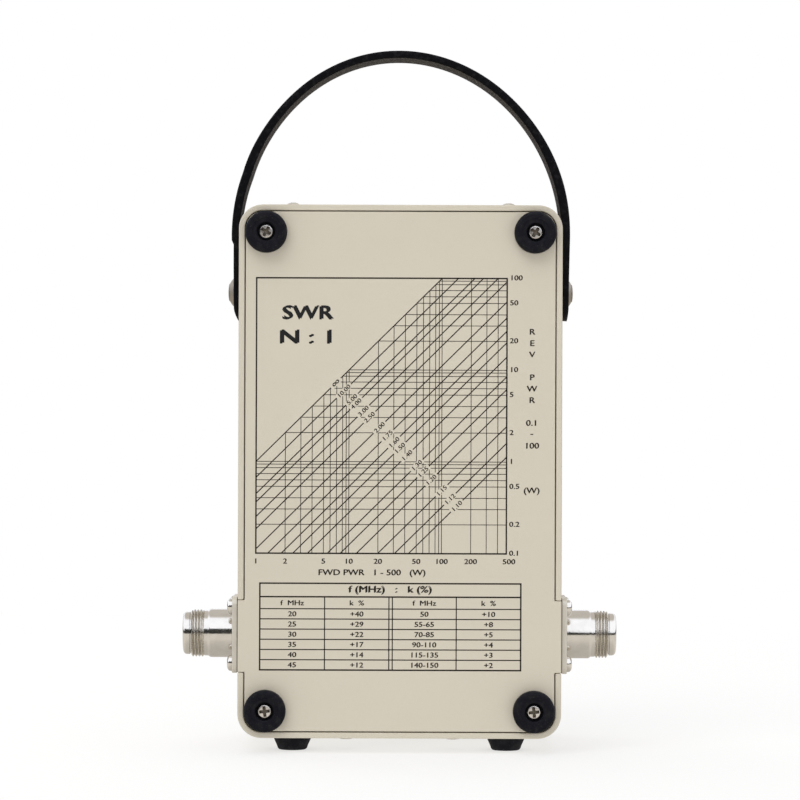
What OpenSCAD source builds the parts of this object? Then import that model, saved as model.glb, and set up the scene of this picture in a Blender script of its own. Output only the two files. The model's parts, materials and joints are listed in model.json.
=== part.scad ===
// Portable in-line RF wattmeter: a painted case with a panel meter, a range switch and a
// forward/reverse switch on its front, a plain rear cover, a strap handle, and a coaxial jack
// on each side. Sizes are in millimetres. The front faces -Y, the rear cover +Y, and the four
// bottom feet stand at z = 0 under the middle of the instrument.

/* [Case] */
// Width of the case
case_w = 108; // [104:1:120]
// Height of the case
case_h = 178; // [174:1:200]
// Depth of the case from rim to rim
case_d = 76; // [72:1:90]
// Thickness of the case's wall
case_wall = 2; // [1.6:0.1:2.4]
// Outer radius of the case's long corners
case_r = 8; // [6:0.5:9]
// Thickness of the front panel and the rear cover
sheet_t = 1.6; // [1.2:0.1:2]
// Gap round a cover inside the case's rim
cover_gap = 0.3; // [0.2:0.05:0.5]
// Width of a cover's fixing tab
tab_w = 16; // [12:1:18]
// Depth of a cover's fixing tab
tab_d = 26; // [25:1:28]
// Distance of the top screws from the middle of the case
top_screw_x = 36.5; // [32:0.5:38]
// Distance of the top screws from the rim
top_screw_inset = 20; // [12:1:21]

/* [Small fasteners] */
// Radius of a small screw's shank
screw_r = 1.5; // [1.3:0.1:1.6]
// Radius of a small screw's head
screw_head_r = 2.8; // [2.5:0.1:3.2]
// Height of a small screw's head
screw_head_h = 2; // [1.4:0.1:2.4]
// Clearance round a screw in its hole
screw_fit = 0.1; // [0.05:0.05:0.2]
// Clearance of pressed, threaded and clamped pieces
snug = 0.02; // [0.01:0.01:0.04]
// Radius of a press nut
nut_r = 3.2; // [2.9:0.1:3.6]
// Height of a press nut
nut_h = 2.4; // [2:0.1:3]

/* [Feet] */
// Radius of a rear foot
rear_foot_r = 7; // [6.4:0.1:7.4]
// Height of a rear foot
rear_foot_h = 5; // [4.4:0.1:6]
// Radius of a rear foot's rounded shoulder
rear_foot_round = 2.2; // [1.4:0.1:2.6]
// Radius of the well in a rear foot
rear_well_r = 3.1; // [2.8:0.1:3.5]
// Rubber left under the screw head in a rear foot
rear_foot_seat = 2; // [1.4:0.1:2.4]
// Radius of the screw head in a foot
foot_head_r = 2.35; // [2.1:0.05:2.4]
// Height of the screw head in a foot
foot_head_h = 1.6; // [1.2:0.1:2]
// Distance of a rear foot's middle from the case's edges
rear_foot_inset = 9.2; // [9:0.1:14]
// Radius of a bottom foot against the case
foot_r = 6.25; // [5.5:0.25:7]
// Radius of a bottom foot's flat end
foot_end_r = 3.35; // [3.2:0.05:4]
// Height of a bottom foot
foot_h = 5; // [4.6:0.1:6]
// Radius of the well in a bottom foot
foot_well_r = 2.6; // [2.5:0.05:2.8]
// Rubber left above the screw head in a bottom foot
foot_seat = 2.6; // [2:0.1:2.8]
// Distance of the bottom feet from the middle of the case
foot_x = 36; // [32:0.5:38]
// Distance of the bottom feet from the rims
foot_inset = 15; // [10:0.5:17]

/* [Strap handle] */
// Width of the strap
strap_w = 19; // [16:0.5:22]
// Thickness of the strap
strap_t = 2.6; // [2:0.1:3]
// Thickness of the washer between the case and the strap
strap_spacer_t = 0.8; // [0.8:0.05:1.2]
// Radius of that washer
strap_spacer_r = 5.5; // [4.5:0.25:7]
// Height of the strap's crown above the case
strap_rise = 54.2; // [48:0.2:70]
// Distance from the case's top down to the strap's screws
stud_drop = 28.3; // [26:0.1:34]
// Length of straight strap above its screws
strap_leg = 17.8; // [14:0.2:20]
// Radius of the strap screw's shank
strap_screw_r = 2; // [1.8:0.05:2.2]
// Radius of the strap screw's head
strap_head_r = 3; // [2.8:0.1:3.3]
// Height of the strap screw's crown above the strap
strap_head_rise = 1.8; // [1.8:0.05:2.4]
// Radius of the cup washer on the strap
cup_r = 4.9; // [4.5:0.1:6]
// Height of the cup washer
cup_h = 1.3; // [1.25:0.05:1.6]
// Running clearance of the strap on its screws and between its washers
strap_run = 0.05; // [0.03:0.01:0.08]

/* [Coaxial jacks] */
// Height of the jacks' axis above the bottom of the case
jack_rise = 34; // [30:0.5:40]
// Distance of the jacks' axis from the rear rim
jack_inset = 16; // [15:0.25:20]
// Side of the square flange
flange_w = 25.4; // [25:0.1:26]
// Thickness of the flange
flange_t = 2.1; // [1.8:0.1:2.6]
// Corner radius of the flange
flange_r = 2.8; // [1:0.1:3.2]
// Pitch of the flange screws
flange_pitch = 18.8; // [18.2:0.1:19]
// Height of a flange screw's head
flange_head_h = 1.7; // [1.4:0.1:2]
// Radius of a flange screw's head
flange_head_r = 2.7; // [2.5:0.05:2.8]
// Length of a flange screw in the block
flange_screw_l = 5; // [4:0.5:7]
// Radius of the jack's plain barrel
barrel_r = 8.14; // [8.1:0.02:8.4]
// Length of the plain barrel
barrel_l = 8.3; // [7:0.1:10]
// Radius of the neck before the thread
neck_r = 7.3; // [7:0.1:7.4]
// Length of the neck
neck_l = 1.5; // [1:0.1:2.5]
// Radius of the thread's crests
thread_r = 7.94; // [7.9:0.01:8]
// Depth of the thread
thread_depth = 0.55; // [0.4:0.05:0.6]
// Pitch of the thread
thread_pitch = 1.058; // [1:0.001:1.1]
// Number of thread crests
thread_crests = 4; // [3:1:6]
// Radius of the groove behind the tip ring
relief_r = 6.9; // [6.6:0.1:7]
// Length of that groove
relief_l = 0.9; // [0.6:0.1:1.4]
// Radius of the tip ring
tip_r = 7.15; // [7:0.05:7.3]
// Length of the tip ring
tip_l = 1.9; // [1.4:0.1:2.4]
// Radius of the jack's mouth
mouth_r = 4.25; // [4.2:0.05:4.6]
// Depth of the jack's open mouth
mouth_d = 9.3; // [8:0.1:10]
// Radius of the centre contact
contact_r = 1.5; // [1.4:0.05:1.7]
// How far the contact lies below the jack's tip
contact_drop = 5; // [4.6:0.1:6]
// Radius of the bore in the contact
contact_bore_r = 0.85; // [0.8:0.05:0.95]
// Radius of the contact's rear pin
contact_pin_r = 1.2; // [1:0.05:1.3]
// Depth of the shoulder that holds the insulator
insulator_lip = 1.2; // [0.8:0.1:1.5]

/* [Line section] */
// Side of the square line block
block_w = 24; // [23:0.1:24.4]
// Gap round the block in the case's notches
block_gap = 0.12; // [0.05:0.01:0.2]
// Radius of the block's bore
line_bore_r = 6.9; // [6.2:0.1:7]
// Radius of the centre conductor
conductor_r = 3; // [2.6:0.1:3.2]
// Gap between the conductor's end and the block's end
conductor_gap = 2; // [1.5:0.1:3]
// Depth of the conductor's end holes
conductor_hole_d = 7; // [6.5:0.5:9]
// Running clearance of the contacts in the conductor
contact_fit = 0.05; // [0.02:0.01:0.08]
// Distance of the posts from the middle
post_x = 18; // [12:0.5:20]
// Radius of a post
post_r = 3.5; // [3:0.1:4]
// Length of a post's stud in the block
post_stud_l = 3.6; // [3:0.1:4]
// Length of the coupler board
coupler_w = 50; // [46:1:60]
// Height of the coupler board
coupler_h = 18; // [16:0.5:19]
// Thickness of the circuit boards
board_t = 1.6; // [1.2:0.1:2]
// Depth of the coupler's shield
shield_d = 9; // [8.5:0.5:11]
// Thickness of the shield
shield_t = 0.6; // [0.5:0.05:0.8]
// Gap between the shield and the coupler board
shield_gap = 1; // [0.6:0.1:1.2]
// Distance of the coupler's components from the middle
coupler_part_x = 14; // [10:1:16]
// Rise of the coupler's components above and below the jacks' axis
coupler_part_z = 5; // [4:0.5:6]
// Length of a coupler resistor
coupler_resistor_l = 7; // [5:0.5:8]
// Radius of a coupler resistor
coupler_resistor_r = 1.25; // [1:0.05:1.5]
// Length of a coupler diode
coupler_diode_l = 4; // [3:0.5:5]
// Radius of a coupler diode
coupler_diode_r = 0.9; // [0.7:0.05:1.1]
// Distance of the feedthroughs from the middle
feed_x = 15; // [10:1:20]
// Radius of a feedthrough
feed_r = 1.6; // [1.4:0.1:2]

/* [Meter] */
// Width of the meter's front
meter_w = 92; // [88:1:98]
// Height of the meter's front
meter_h = 78; // [76:1:82]
// Corner radius of the meter's front
meter_r = 4; // [2:0.5:6]
// Distance of the meter's top below the case's top
meter_drop = 11; // [9:0.5:14]
// Thickness of the housing's flange
housing_t = 3; // [2.6:0.1:3.4]
// Radius of the housing's barrel
housing_r = 24; // [23.6:0.1:25]
// Wall of the housing's barrel
housing_wall = 1.5; // [1.2:0.1:1.8]
// Distance of the pivot above the meter's lower edge
pivot_rise = 26; // [25.5:0.25:27]
// Depth of the clear cover
lens_d = 12; // [12:0.25:14]
// Wall of the clear cover
lens_wall = 2; // [1.6:0.1:2.4]
// Height of the black mask on the clear cover
mask_h = 31; // [30:0.5:34]
// Thickness of the mask
mask_t = 1; // [0.8:0.1:1.4]
// Width of the scale plate
scale_w = 80; // [76:1:82]
// Height of the scale plate
scale_h = 60; // [56:1:62]
// Thickness of the scale plate
scale_t = 0.8; // [0.6:0.1:1]
// Distance of the scale plate's top below the meter's top
scale_drop = 4.5; // [4:0.5:6]
// Height of the bosses that carry the scale plate
scale_boss_h = 1; // [0.8:0.1:1.2]
// Height of a scale screw's head
scale_head_h = 1; // [0.8:0.1:1.2]
// Length of a scale screw in its boss
scale_screw_l = 2; // [1.6:0.1:2.2]
// Length of the pointer from its pivot
pointer_l = 42; // [38:0.5:43]
// Swing of the pointer to each side of upright
pointer_swing = 45; // [40:1:48]
// Radius of the iron core
core_r = 10; // [9:0.1:10.2]
// Inner radius of the ring magnet
pole_r = 13.6; // [13.4:0.1:14]
// Outer radius of the ring magnet
magnet_r = 20; // [19:0.1:20.5]
// Length of the magnet
magnet_l = 14.5; // [13:0.25:15]
// Width of the coil's winding
coil_w = 3; // [2:0.1:3.4]
// Radius of the pivot staff
staff_r = 0.6; // [0.5:0.05:0.7]
// Radius of the jewel screws
jewel_r = 1.5; // [1.3:0.1:1.8]
// Distance of the bridge's pillars from the pivot
pillar_x = 16.5; // [16:0.25:17]
// Radius of the bridge's pillars
pillar_r = 1.2; // [1:0.1:1.4]
// Distance of the zero adjuster below the pivot
adjuster_drop = 14; // [13:0.25:15]
// Throw of the zero adjuster's pin
adjuster_throw = 1.2; // [1:0.05:1.3]
// Number of turns in the hairspring
spring_turns = 4; // [3:1:5]
// Distance of the meter's studs from its edges
meter_stud_inset = 7; // [6:0.5:8]
// Distance of the terminals from the pivot
terminal_x = 14; // [12:0.5:16]
// Radius of a terminal stud
terminal_r = 1.6; // [1.4:0.1:1.8]

/* [Controls] */
// Distance of the range knob from the middle
knob_x = -20; // [-24:0.5:-18]
// Height of the controls above the bottom of the case
control_rise = 51; // [50:0.5:53]
// Radius of the knob's skirt
skirt_r = 15; // [13:0.25:16]
// Radius of the knob's grip
grip_r = 11.5; // [10.5:0.25:12]
// Height of the knob
knob_h = 18; // [16:0.5:20]
// Gap between the knob and the panel
knob_gap = 0.8; // [0.6:0.1:1.4]
// Number of flutes round the grip
flutes = 20; // [12:1:24]
// Radius of the switch shaft
shaft_r = 3.175; // [3:0.025:3.2]
// Running clearance of the shaft in its bushing
shaft_run = 0.05; // [0.03:0.01:0.08]
// Outer radius of the switch bushing
bushing_r = 4.75; // [4.5:0.05:5]
// Length of the bushing in front of the panel
bushing_l = 7; // [5:0.25:7.5]
// Side of the switch's square front plate
switch_plate_w = 28; // [26:0.5:29]
// Width of a solder lug
lug_w = 1.8; // [1.4:0.1:2]
// Thickness of a solder lug
lug_t = 0.6; // [0.4:0.1:0.8]
// Thickness of the switch's rotor
rotor_t = 2; // [1.6:0.1:2.4]
// Turn of the range knob between two positions
range_step = 30; // [20:5:35]
// Number of range positions
range_count = 5; // [3:1:6]
// Distance of the toggle switch from the middle
toggle_x = 30; // [26:0.5:34]
// Tilt of the toggle lever to each side
toggle_tilt = 12; // [8:1:13]
// Radius of the toggle lever's ball
toggle_ball_r = 2.2; // [2:0.05:2.3]
// Length of the toggle lever in front of its ball
toggle_l = 13.5; // [11:0.25:14]

/* [Main board] */
// Width of the main board
board_w = 84; // [76:1:86]
// Height of the main board
board_h = 54; // [50:1:56]
// Length of a range resistor
resistor_l = 8; // [6:0.5:9]
// Radius of a range resistor
resistor_r = 1.3; // [1:0.05:1.6]
// Pitch of the range resistors
resistor_pitch = 8; // [5:0.5:8]
// Distance of the first range resistor from the board's middle
resistor_x = -32; // [-34:1:-28]
// Rise of the resistors above the board's middle
resistor_rise = 12; // [8:1:14]
// Length of a range diode
diode_l = 6; // [4:0.5:7]
// Radius of a range diode
diode_r = 1; // [0.8:0.05:1.2]
// Pitch of the range diodes
diode_pitch = 5; // [4:0.5:5]
// Radius of a capacitor
capacitor_r = 3.2; // [2.8:0.1:3.6]
// Height of a capacitor
capacitor_h = 9; // [7:0.5:10]
// Distance of the capacitors from the board's middle
capacitor_x = 28; // [24:1:30]

/* [Hidden] */
$fn = 48;

// Colours
paint = "#d3cbb8";
rubber = "#202024";
nickel = "#b9b3a6";
steel = "#a8a8aa";
brass = "#b8964a";
black = "#222224";
board = "#3f6b45";

// The case
front_reach = knob_gap + knob_h;
back_y = (case_d + front_reach - rear_foot_h) / 2;
front_y = back_y - case_d;
mid_y = (front_y + back_y) / 2;
base_z = foot_h;
top_z = base_z + case_h;
mid_z = base_z + case_h / 2;
inner_r = case_r - case_wall;
cover_w = case_w - 2 * (case_wall + cover_gap);
cover_h = case_h - 2 * (case_wall + cover_gap);
tab_top_z = top_z - case_wall - cover_gap;
tab_low_z = base_z + case_wall + cover_gap;
hole_r = screw_r + screw_fit;
through_l = case_wall + cover_gap + sheet_t + nut_h;
sides = [-1, 1];
ends = [-1, 1];

// The strap and its screws
stud_z = top_z - stud_drop;
strap_in = case_w / 2 + strap_spacer_t + strap_run;
arch_z = stud_z + strap_leg;
arch_a = strap_in + strap_t / 2;
arch_b = top_z + strap_rise - strap_t / 2 - arch_z;
arch_steps = 40;
cup_hole_r = strap_screw_r + screw_fit;

// The line section and the jacks
jack_y = back_y - jack_inset;
jack_z = base_z + jack_rise;
block_front_y = jack_y - block_w / 2;
notch_d = jack_inset + block_w / 2 + block_gap;
lip_d = jack_inset - block_w / 2 - block_gap;
barrel_z = flange_t + barrel_l;
thread_z = barrel_z + neck_l;
relief_z = thread_z + thread_crests * thread_pitch;
ring_z = relief_z + relief_l;
tip_z = ring_z + tip_l;
floor_z = tip_z - mouth_d;
pin_reach = conductor_gap + conductor_hole_d - 1;
shield_face_y = block_front_y - shield_d;
post_bore_l = 8;
post_screw_l = 6;
feed_seat = 1.5;
feed_body_l = 4;
feed_lead_r = 0.4;
feed_lead_l = 6;

// The meter, measured out from the panel's face along its own Z
meter_z = top_z - meter_drop - meter_h / 2;
pivot_z = top_z - meter_drop - meter_h + pivot_rise;
scale_z = top_z - meter_drop - scale_drop - scale_h / 2;
scale_out = housing_t + scale_boss_h;
pointer_out = scale_out + scale_t + 2.2;
pointer_t = 0.5;
spring_out = pointer_out + pointer_t + 0.5;
spring_t = 0.5;
lever_out = spring_out + spring_t + 0.7;
lever_t = 0.6;
bridge_out = lever_out + lever_t + 0.2;
bridge_t = 1.2;
jewel_out = spring_out + spring_t + 0.1;
jewel_l = bridge_out + bridge_t - jewel_out + 1;
jewel_bore_d = 0.9;
lens_out = housing_t + lens_d;
mask_out = lens_out + mask_t;
housing_in_r = housing_r - housing_wall;
magnet_front = -6;
magnet_back = magnet_front - magnet_l;
core_back = magnet_back + 2;
yoke_t = 2;
yoke_back = magnet_back - yoke_t;
housing_back_t = 2;
housing_back = yoke_back - housing_back_t;
coil_bar = 1;
coil_gap = 0.4;
bridge_w = 5;
pillar_root = 0.5;
coil_in_r = core_r + 0.5;
coil_out_r = pole_r - 0.7;
coil_front = magnet_front + coil_gap + coil_bar;
coil_back = core_back - coil_gap - coil_bar;
staff_run = 0.05;
rear_jewel_out = coil_back - 0.3;
rear_jewel_l = rear_jewel_out - yoke_back - 0.1;
stud_pos_x = meter_w / 2 - meter_stud_inset;
stud_pos_z = meter_h / 2 - meter_stud_inset;
terminal_nut_h = 2.4;
terminal_nut_across = 6;
meter_nut_h = 2.4;
meter_nut_across = 5.5;
meter_stud_back = 5;
board_out = housing_back - terminal_nut_h - board_t;
board_drop = 6;
board_z = meter_z - board_drop;
board_low_z = board_z - board_h / 2;
slot_fit = 0.1;
adjuster_pin_r = 0.5;
adjuster_r = 2.4;

// The controls
control_z = base_z + control_rise;
switch_plate_t = 2;
switch_r = 13;
switch_d = 11.4;
switch_back = -sheet_t - switch_plate_t - switch_d;
nut_across = 14;
nut_t = 2.2;
set_screw_out = knob_gap + 11;
toggle_bore_r = toggle_ball_r + 0.05;
toggle_out_r = 3;
toggle_out = 5.5;
toggle_ball_out = 2.5;
toggle_nut_h = 1.8;
toggle_nut_across = 8;
toggle_body_w = 7;
toggle_body_h = 13;
toggle_body_d = 10;
toggle_wall = 1;
toggle_pin_pitch = 4;
toggle_tail_l = 6.5;
toggle_tail_r = 0.9;
toggle_tip_r = 1.9;
toggle_back = -sheet_t - toggle_body_d;
pin_l = 4;
scale_screw_r = 0.9;
scale_head_r = 1.7;
scale_screw_x = scale_w / 2 - 3.5;

// Flat outline with round corners
module rounded(w, h, r) {
    square([w - 2 * r, h], center = true);
    square([w, h - 2 * r], center = true);
    for (x = sides, y = ends)
        translate([x * (w / 2 - r), y * (h / 2 - r)]) circle(r);
}

// The child's +Z points out of the front, the back or a side of the case
module to_front(x, z) translate([x, front_y, z]) rotate([90, 0, 0]) children();
module to_back(x, z) translate([x, back_y, z]) rotate([-90, 0, 0]) children();
module to_side(side, y, z) translate([side * case_w / 2, y, z]) rotate([0, side * 90, 0]) children();

// Places that repeat
module at_top_screws()
    for (x = sides, y = [front_y + top_screw_inset, back_y - top_screw_inset])
        translate([x * top_screw_x, y, top_z]) children();
module at_bottom_feet()
    for (x = sides, y = [front_y + foot_inset, back_y - foot_inset])
        translate([x * foot_x, y, 0]) children();
module at_rear_feet()
    for (x = sides, z = [base_z + rear_foot_inset, top_z - rear_foot_inset])
        to_back(x * (case_w / 2 - rear_foot_inset), z) children();
module at_strap_screws()
    for (side = sides) to_side(side, mid_y, stud_z) children();
module at_jack(side) to_side(side, jack_y, jack_z) children();
module at_flange_screws()
    for (x = sides, y = ends)
        translate([x * flange_pitch / 2, y * flange_pitch / 2, 0]) children();
module at_posts()
    for (x = sides) translate([x * post_x, jack_y, 0]) children();
module at_pivot() to_front(0, pivot_z) children();
module at_meter_studs()
    for (x = sides, y = ends)
        to_front(x * stud_pos_x, meter_z + y * stud_pos_z) children();
module at_terminals()
    for (x = sides) to_front(x * terminal_x, pivot_z) children();

// Pan-head screw seated at z = 0, with a cross recess
module screw(head_r, head_h, shank_r, shank_l) {
    edge = head_h * 0.4;
    arm = head_r * 0.3;
    difference() {
        rotate_extrude() polygon(concat(
            [[0, -shank_l], [shank_r, -shank_l], [shank_r, 0], [head_r, 0]],
            [for (a = [0 : 18 : 90]) [head_r * cos(a), edge + (head_h - edge) * sin(a)]]));
        for (turn = [0, 90])
            rotate(turn) translate([-head_r * 0.55, -arm / 2, head_h * 0.45])
                cube([head_r * 1.1, arm, head_h]);
    }
}

// Ring from z = 0 up
module ring(outer_r, bore_r, h) {
    difference() {
        cylinder(r = outer_r, h = h);
        translate([0, 0, -1]) cylinder(r = bore_r, h = h + 2);
    }
}

// Hexagon nut from z = 0 up
module hex_nut(across, bore_r, h) {
    difference() {
        cylinder(d = across / cos(30), h = h, $fn = 6);
        translate([0, 0, -1]) cylinder(r = bore_r, h = h + 2);
    }
}

// Insulated wire from a to b, leaving a along from_dir and reaching b against to_dir
function unit(v) = v / norm(v);
function curve(p, t) = pow(1 - t, 3) * p[0] + 3 * pow(1 - t, 2) * t * p[1] + 3 * (1 - t) * t * t * p[2]
    + pow(t, 3) * p[3];
function slope(p, t) = unit(pow(1 - t, 2) * (p[1] - p[0]) + 2 * (1 - t) * t * (p[2] - p[1])
    + t * t * (p[3] - p[2]));
module wire(a, from_dir, b, to_dir, reach, r) {
    rings = 10;
    around = 6;
    path = [a, a + from_dir * reach, b + to_dir * reach, b];
    across = unit([0.9, 0.1, 0.2]);
    points = [for (i = [0 : rings], k = [0 : around - 1])
        let (t = i / rings, turn = k * 360 / around)
        let (d = slope(path, t), u = unit(cross(d, across)), v = cross(d, u))
        curve(path, t) + r * (cos(turn) * u + sin(turn) * v)];
    skin = [for (i = [0 : rings - 1], k = [0 : around - 1], half = [0, 1])
        let (p = i * around + k, q = i * around + (k + 1) % around)
        half == 0 ? [p, q + around, q] : [p, p + around, q + around]];
    start = [for (k = [1 : around - 2]) [0, k, k + 1]];
    last = rings * around;
    finish = [for (k = [1 : around - 2]) [last, last + k + 1, last + k]];
    polyhedron(points, concat(skin, start, finish));
}

// Fixing tabs of a cover: along +Y behind the front panel, along -Y in front of the rear cover
module cover_tabs(at_y, along) {
    start_y = along > 0 ? at_y : at_y - tab_d;
    screw_y = at_y + along * top_screw_inset;
    foot_y = at_y + along * foot_inset;
    for (x = sides) {
        difference() {
            translate([x * top_screw_x - tab_w / 2, start_y, tab_top_z - sheet_t])
                cube([tab_w, tab_d, sheet_t]);
            translate([x * top_screw_x, screw_y, tab_top_z - 2 * sheet_t])
                cylinder(r = hole_r, h = 3 * sheet_t);
        }
        difference() {
            translate([x * foot_x - tab_w / 2, start_y, tab_low_z])
                cube([tab_w, tab_d, sheet_t]);
            translate([x * foot_x, foot_y, tab_low_z - sheet_t])
                cylinder(r = hole_r, h = 3 * sheet_t);
        }
    }
}

module case_shell() {
    color(paint) difference() {
        to_back(0, mid_z) translate([0, 0, -case_d]) linear_extrude(case_d) difference() {
            rounded(case_w, case_h, case_r);
            rounded(case_w - 2 * case_wall, case_h - 2 * case_wall, inner_r);
        }
        for (side = sides)
            translate([side * case_w / 2 - 2 * case_wall, back_y - notch_d, jack_z - block_w / 2 - block_gap])
                cube([4 * case_wall, notch_d + 1, block_w + 2 * block_gap]);
        at_strap_screws() translate([0, 0, -2 * case_wall]) cylinder(r = cup_hole_r, h = 3 * case_wall);
        at_top_screws() translate([0, 0, -2 * case_wall]) cylinder(r = hole_r, h = 3 * case_wall);
        at_bottom_feet() translate([0, 0, base_z - case_wall]) cylinder(r = hole_r, h = 3 * case_wall);
        at_posts() translate([0, 0, base_z - case_wall]) cylinder(r = hole_r, h = 3 * case_wall);
    }
}

module front_panel() {
    color(paint) {
        difference() {
            to_front(0, mid_z) translate([0, 0, -sheet_t])
                linear_extrude(sheet_t) rounded(cover_w, cover_h, inner_r - cover_gap);
            at_pivot() translate([0, 0, -2 * sheet_t]) cylinder(r = housing_r + 0.3, h = 3 * sheet_t);
            at_meter_studs() translate([0, 0, -2 * sheet_t]) cylinder(r = hole_r, h = 3 * sheet_t);
            to_front(knob_x, control_z) translate([0, 0, -2 * sheet_t])
                cylinder(r = bushing_r + screw_fit, h = 3 * sheet_t);
            to_front(toggle_x, control_z) translate([0, 0, -2 * sheet_t])
                cylinder(r = toggle_out_r + screw_fit, h = 3 * sheet_t);
        }
        cover_tabs(front_y, 1);
    }
}

module rear_cover() {
    lip_w = case_wall + cover_gap + 0.5;
    color(paint) {
        difference() {
            to_back(0, mid_z) translate([0, 0, -sheet_t])
                linear_extrude(sheet_t) rounded(cover_w, cover_h, inner_r - cover_gap);
            at_rear_feet() translate([0, 0, -2 * sheet_t]) cylinder(r = hole_r, h = 3 * sheet_t);
        }
        cover_tabs(back_y, -1);
        // Lips that close the case's notches behind the line block
        for (side = sides)
            translate([side * (case_w - lip_w) / 2 - lip_w / 2, back_y - lip_d, jack_z - block_w / 2])
                cube([lip_w, lip_d, block_w]);
    }
}

module cover_screws()
    color(nickel) at_top_screws() screw(screw_head_r, screw_head_h, screw_r, through_l);

module press_nuts() {
    strap_nut_bore = strap_screw_r + snug;
    color(steel) {
        at_top_screws() translate([0, 0, -through_l]) ring(nut_r, screw_r + snug, nut_h);
        at_bottom_feet() translate([0, 0, tab_low_z + sheet_t]) ring(nut_r, screw_r + snug, nut_h);
        at_rear_feet() translate([0, 0, -sheet_t - nut_h]) ring(nut_r, screw_r + snug, nut_h);
        at_strap_screws() translate([0, 0, -case_wall - nut_h]) ring(nut_r, strap_nut_bore, nut_h);
    }
}

module rear_feet() {
    bend_r = rear_foot_r - rear_foot_round;
    bend_z = rear_foot_h - rear_foot_round;
    color(rubber) at_rear_feet() rotate_extrude() polygon(concat(
        [[hole_r, 0], [rear_foot_r, 0]],
        [for (a = [0 : 15 : 90]) [bend_r + rear_foot_round * cos(a), bend_z + rear_foot_round * sin(a)]],
        [[rear_well_r, rear_foot_h], [rear_well_r, rear_foot_seat], [hole_r, rear_foot_seat]]));
}

module rear_foot_screws()
    color(nickel) at_rear_feet() translate([0, 0, rear_foot_seat])
        screw(foot_head_r, foot_head_h, screw_r, rear_foot_seat + sheet_t + nut_h);

module bottom_feet()
    color(rubber) at_bottom_feet() difference() {
        cylinder(r1 = foot_end_r, r2 = foot_r, h = foot_h);
        translate([0, 0, -1]) cylinder(r = foot_well_r, h = foot_h - foot_seat + 1);
        translate([0, 0, -1]) cylinder(r = hole_r, h = foot_h + 2);
    }

module bottom_foot_screws()
    color(nickel) at_bottom_feet() translate([0, 0, foot_h - foot_seat]) mirror([0, 0, 1])
        screw(foot_head_r, foot_head_h, screw_r, foot_seat + through_l);

module strap_handle() {
    function middle(a) = [arch_a * cos(a), arch_b * sin(a)];
    function away(a) = unit([cos(a) / arch_a, sin(a) / arch_b]);
    step = 180 / arch_steps;
    outer = [for (a = [0 : step : 180]) middle(a) + away(a) * strap_t / 2];
    inner = [for (a = [180 : -step : 0]) middle(a) - away(a) * strap_t / 2];
    color(rubber) {
        translate([0, mid_y + strap_w / 2, arch_z]) rotate([90, 0, 0])
            linear_extrude(strap_w) polygon(concat(outer, inner));
        for (side = sides)
            to_side(side, mid_y, stud_z) translate([0, 0, strap_in - case_w / 2]) linear_extrude(strap_t)
                difference() {
                    union() {
                        circle(strap_w / 2);
                        translate([side > 0 ? -strap_leg : 0, -strap_w / 2]) square([strap_leg, strap_w]);
                    }
                    circle(strap_screw_r + strap_run);
                }
    }
}

module strap_spacers()
    color(black) at_strap_screws() ring(strap_spacer_r, strap_screw_r + snug, strap_spacer_t);

module strap_cup_washers() {
    lip_r = strap_head_r + screw_fit;
    color(nickel) at_strap_screws() translate([0, 0, strap_in - case_w / 2 + strap_t + strap_run])
        rotate_extrude() polygon([[cup_hole_r, 0], [cup_r, 0], [cup_r, 0.3], [lip_r + 0.7, cup_h],
            [lip_r, cup_h], [cup_hole_r, cup_h - lip_r + cup_hole_r]]);
}

module strap_screws() {
    cone_z = cup_h - strap_head_r + strap_screw_r;
    seat = strap_in - case_w / 2 + strap_t + strap_run;
    low = -seat - case_wall - nut_h;
    crown = strap_head_rise - cup_h;
    color(nickel) at_strap_screws() translate([0, 0, seat]) difference() {
        rotate_extrude() polygon(concat(
            [[0, low], [strap_screw_r, low], [strap_screw_r, cone_z]],
            [for (a = [0 : 18 : 90]) [strap_head_r * cos(a), cup_h + crown * sin(a)]]));
        for (turn = [0, 90])
            rotate(turn) translate([-1.6, -0.4, cone_z + 0.3]) cube([3.2, 0.8, 3]);
    }
}

module line_block()
    color(steel) difference() {
        translate([-case_w / 2, block_front_y, jack_z - block_w / 2]) cube([case_w, block_w, block_w]);
        at_jack(1) translate([0, 0, -case_w - 1]) cylinder(r = line_bore_r, h = case_w + 2);
        for (side = sides)
            at_jack(side) at_flange_screws() translate([0, 0, -flange_screw_l - 1])
                cylinder(r = screw_r + snug, h = flange_screw_l + 2);
        at_posts() translate([0, 0, jack_z - block_w / 2 - 1])
            cylinder(r = screw_r + snug, h = post_stud_l + 1.2);
        // Window for the coupler loops
        translate([-coupler_w * 0.4, block_front_y - 1, jack_z - 3]) cube([coupler_w * 0.8, block_w / 2, 6]);
    }

module line_posts() {
    seat_z = base_z + case_wall;
    post_l = jack_z - block_w / 2 - seat_z;
    color(steel) at_posts() translate([0, 0, seat_z]) difference() {
        union() {
            cylinder(r = post_r, h = post_l);
            cylinder(r = screw_r, h = post_l + post_stud_l);
        }
        translate([0, 0, -1]) cylinder(r = screw_r + snug, h = post_bore_l + 1);
    }
}

module line_post_screws()
    color(nickel) at_posts() translate([0, 0, base_z]) mirror([0, 0, 1])
        screw(foot_head_r, foot_head_h, screw_r, case_wall + post_screw_l);

module line_conductor()
    color(brass) difference() {
        at_jack(1) translate([0, 0, conductor_gap - case_w])
            cylinder(r = conductor_r, h = case_w - 2 * conductor_gap);
        for (side = sides)
            at_jack(side) translate([0, 0, -conductor_gap - conductor_hole_d])
                cylinder(r = contact_pin_r + contact_fit, h = conductor_hole_d + 1);
    }

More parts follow.
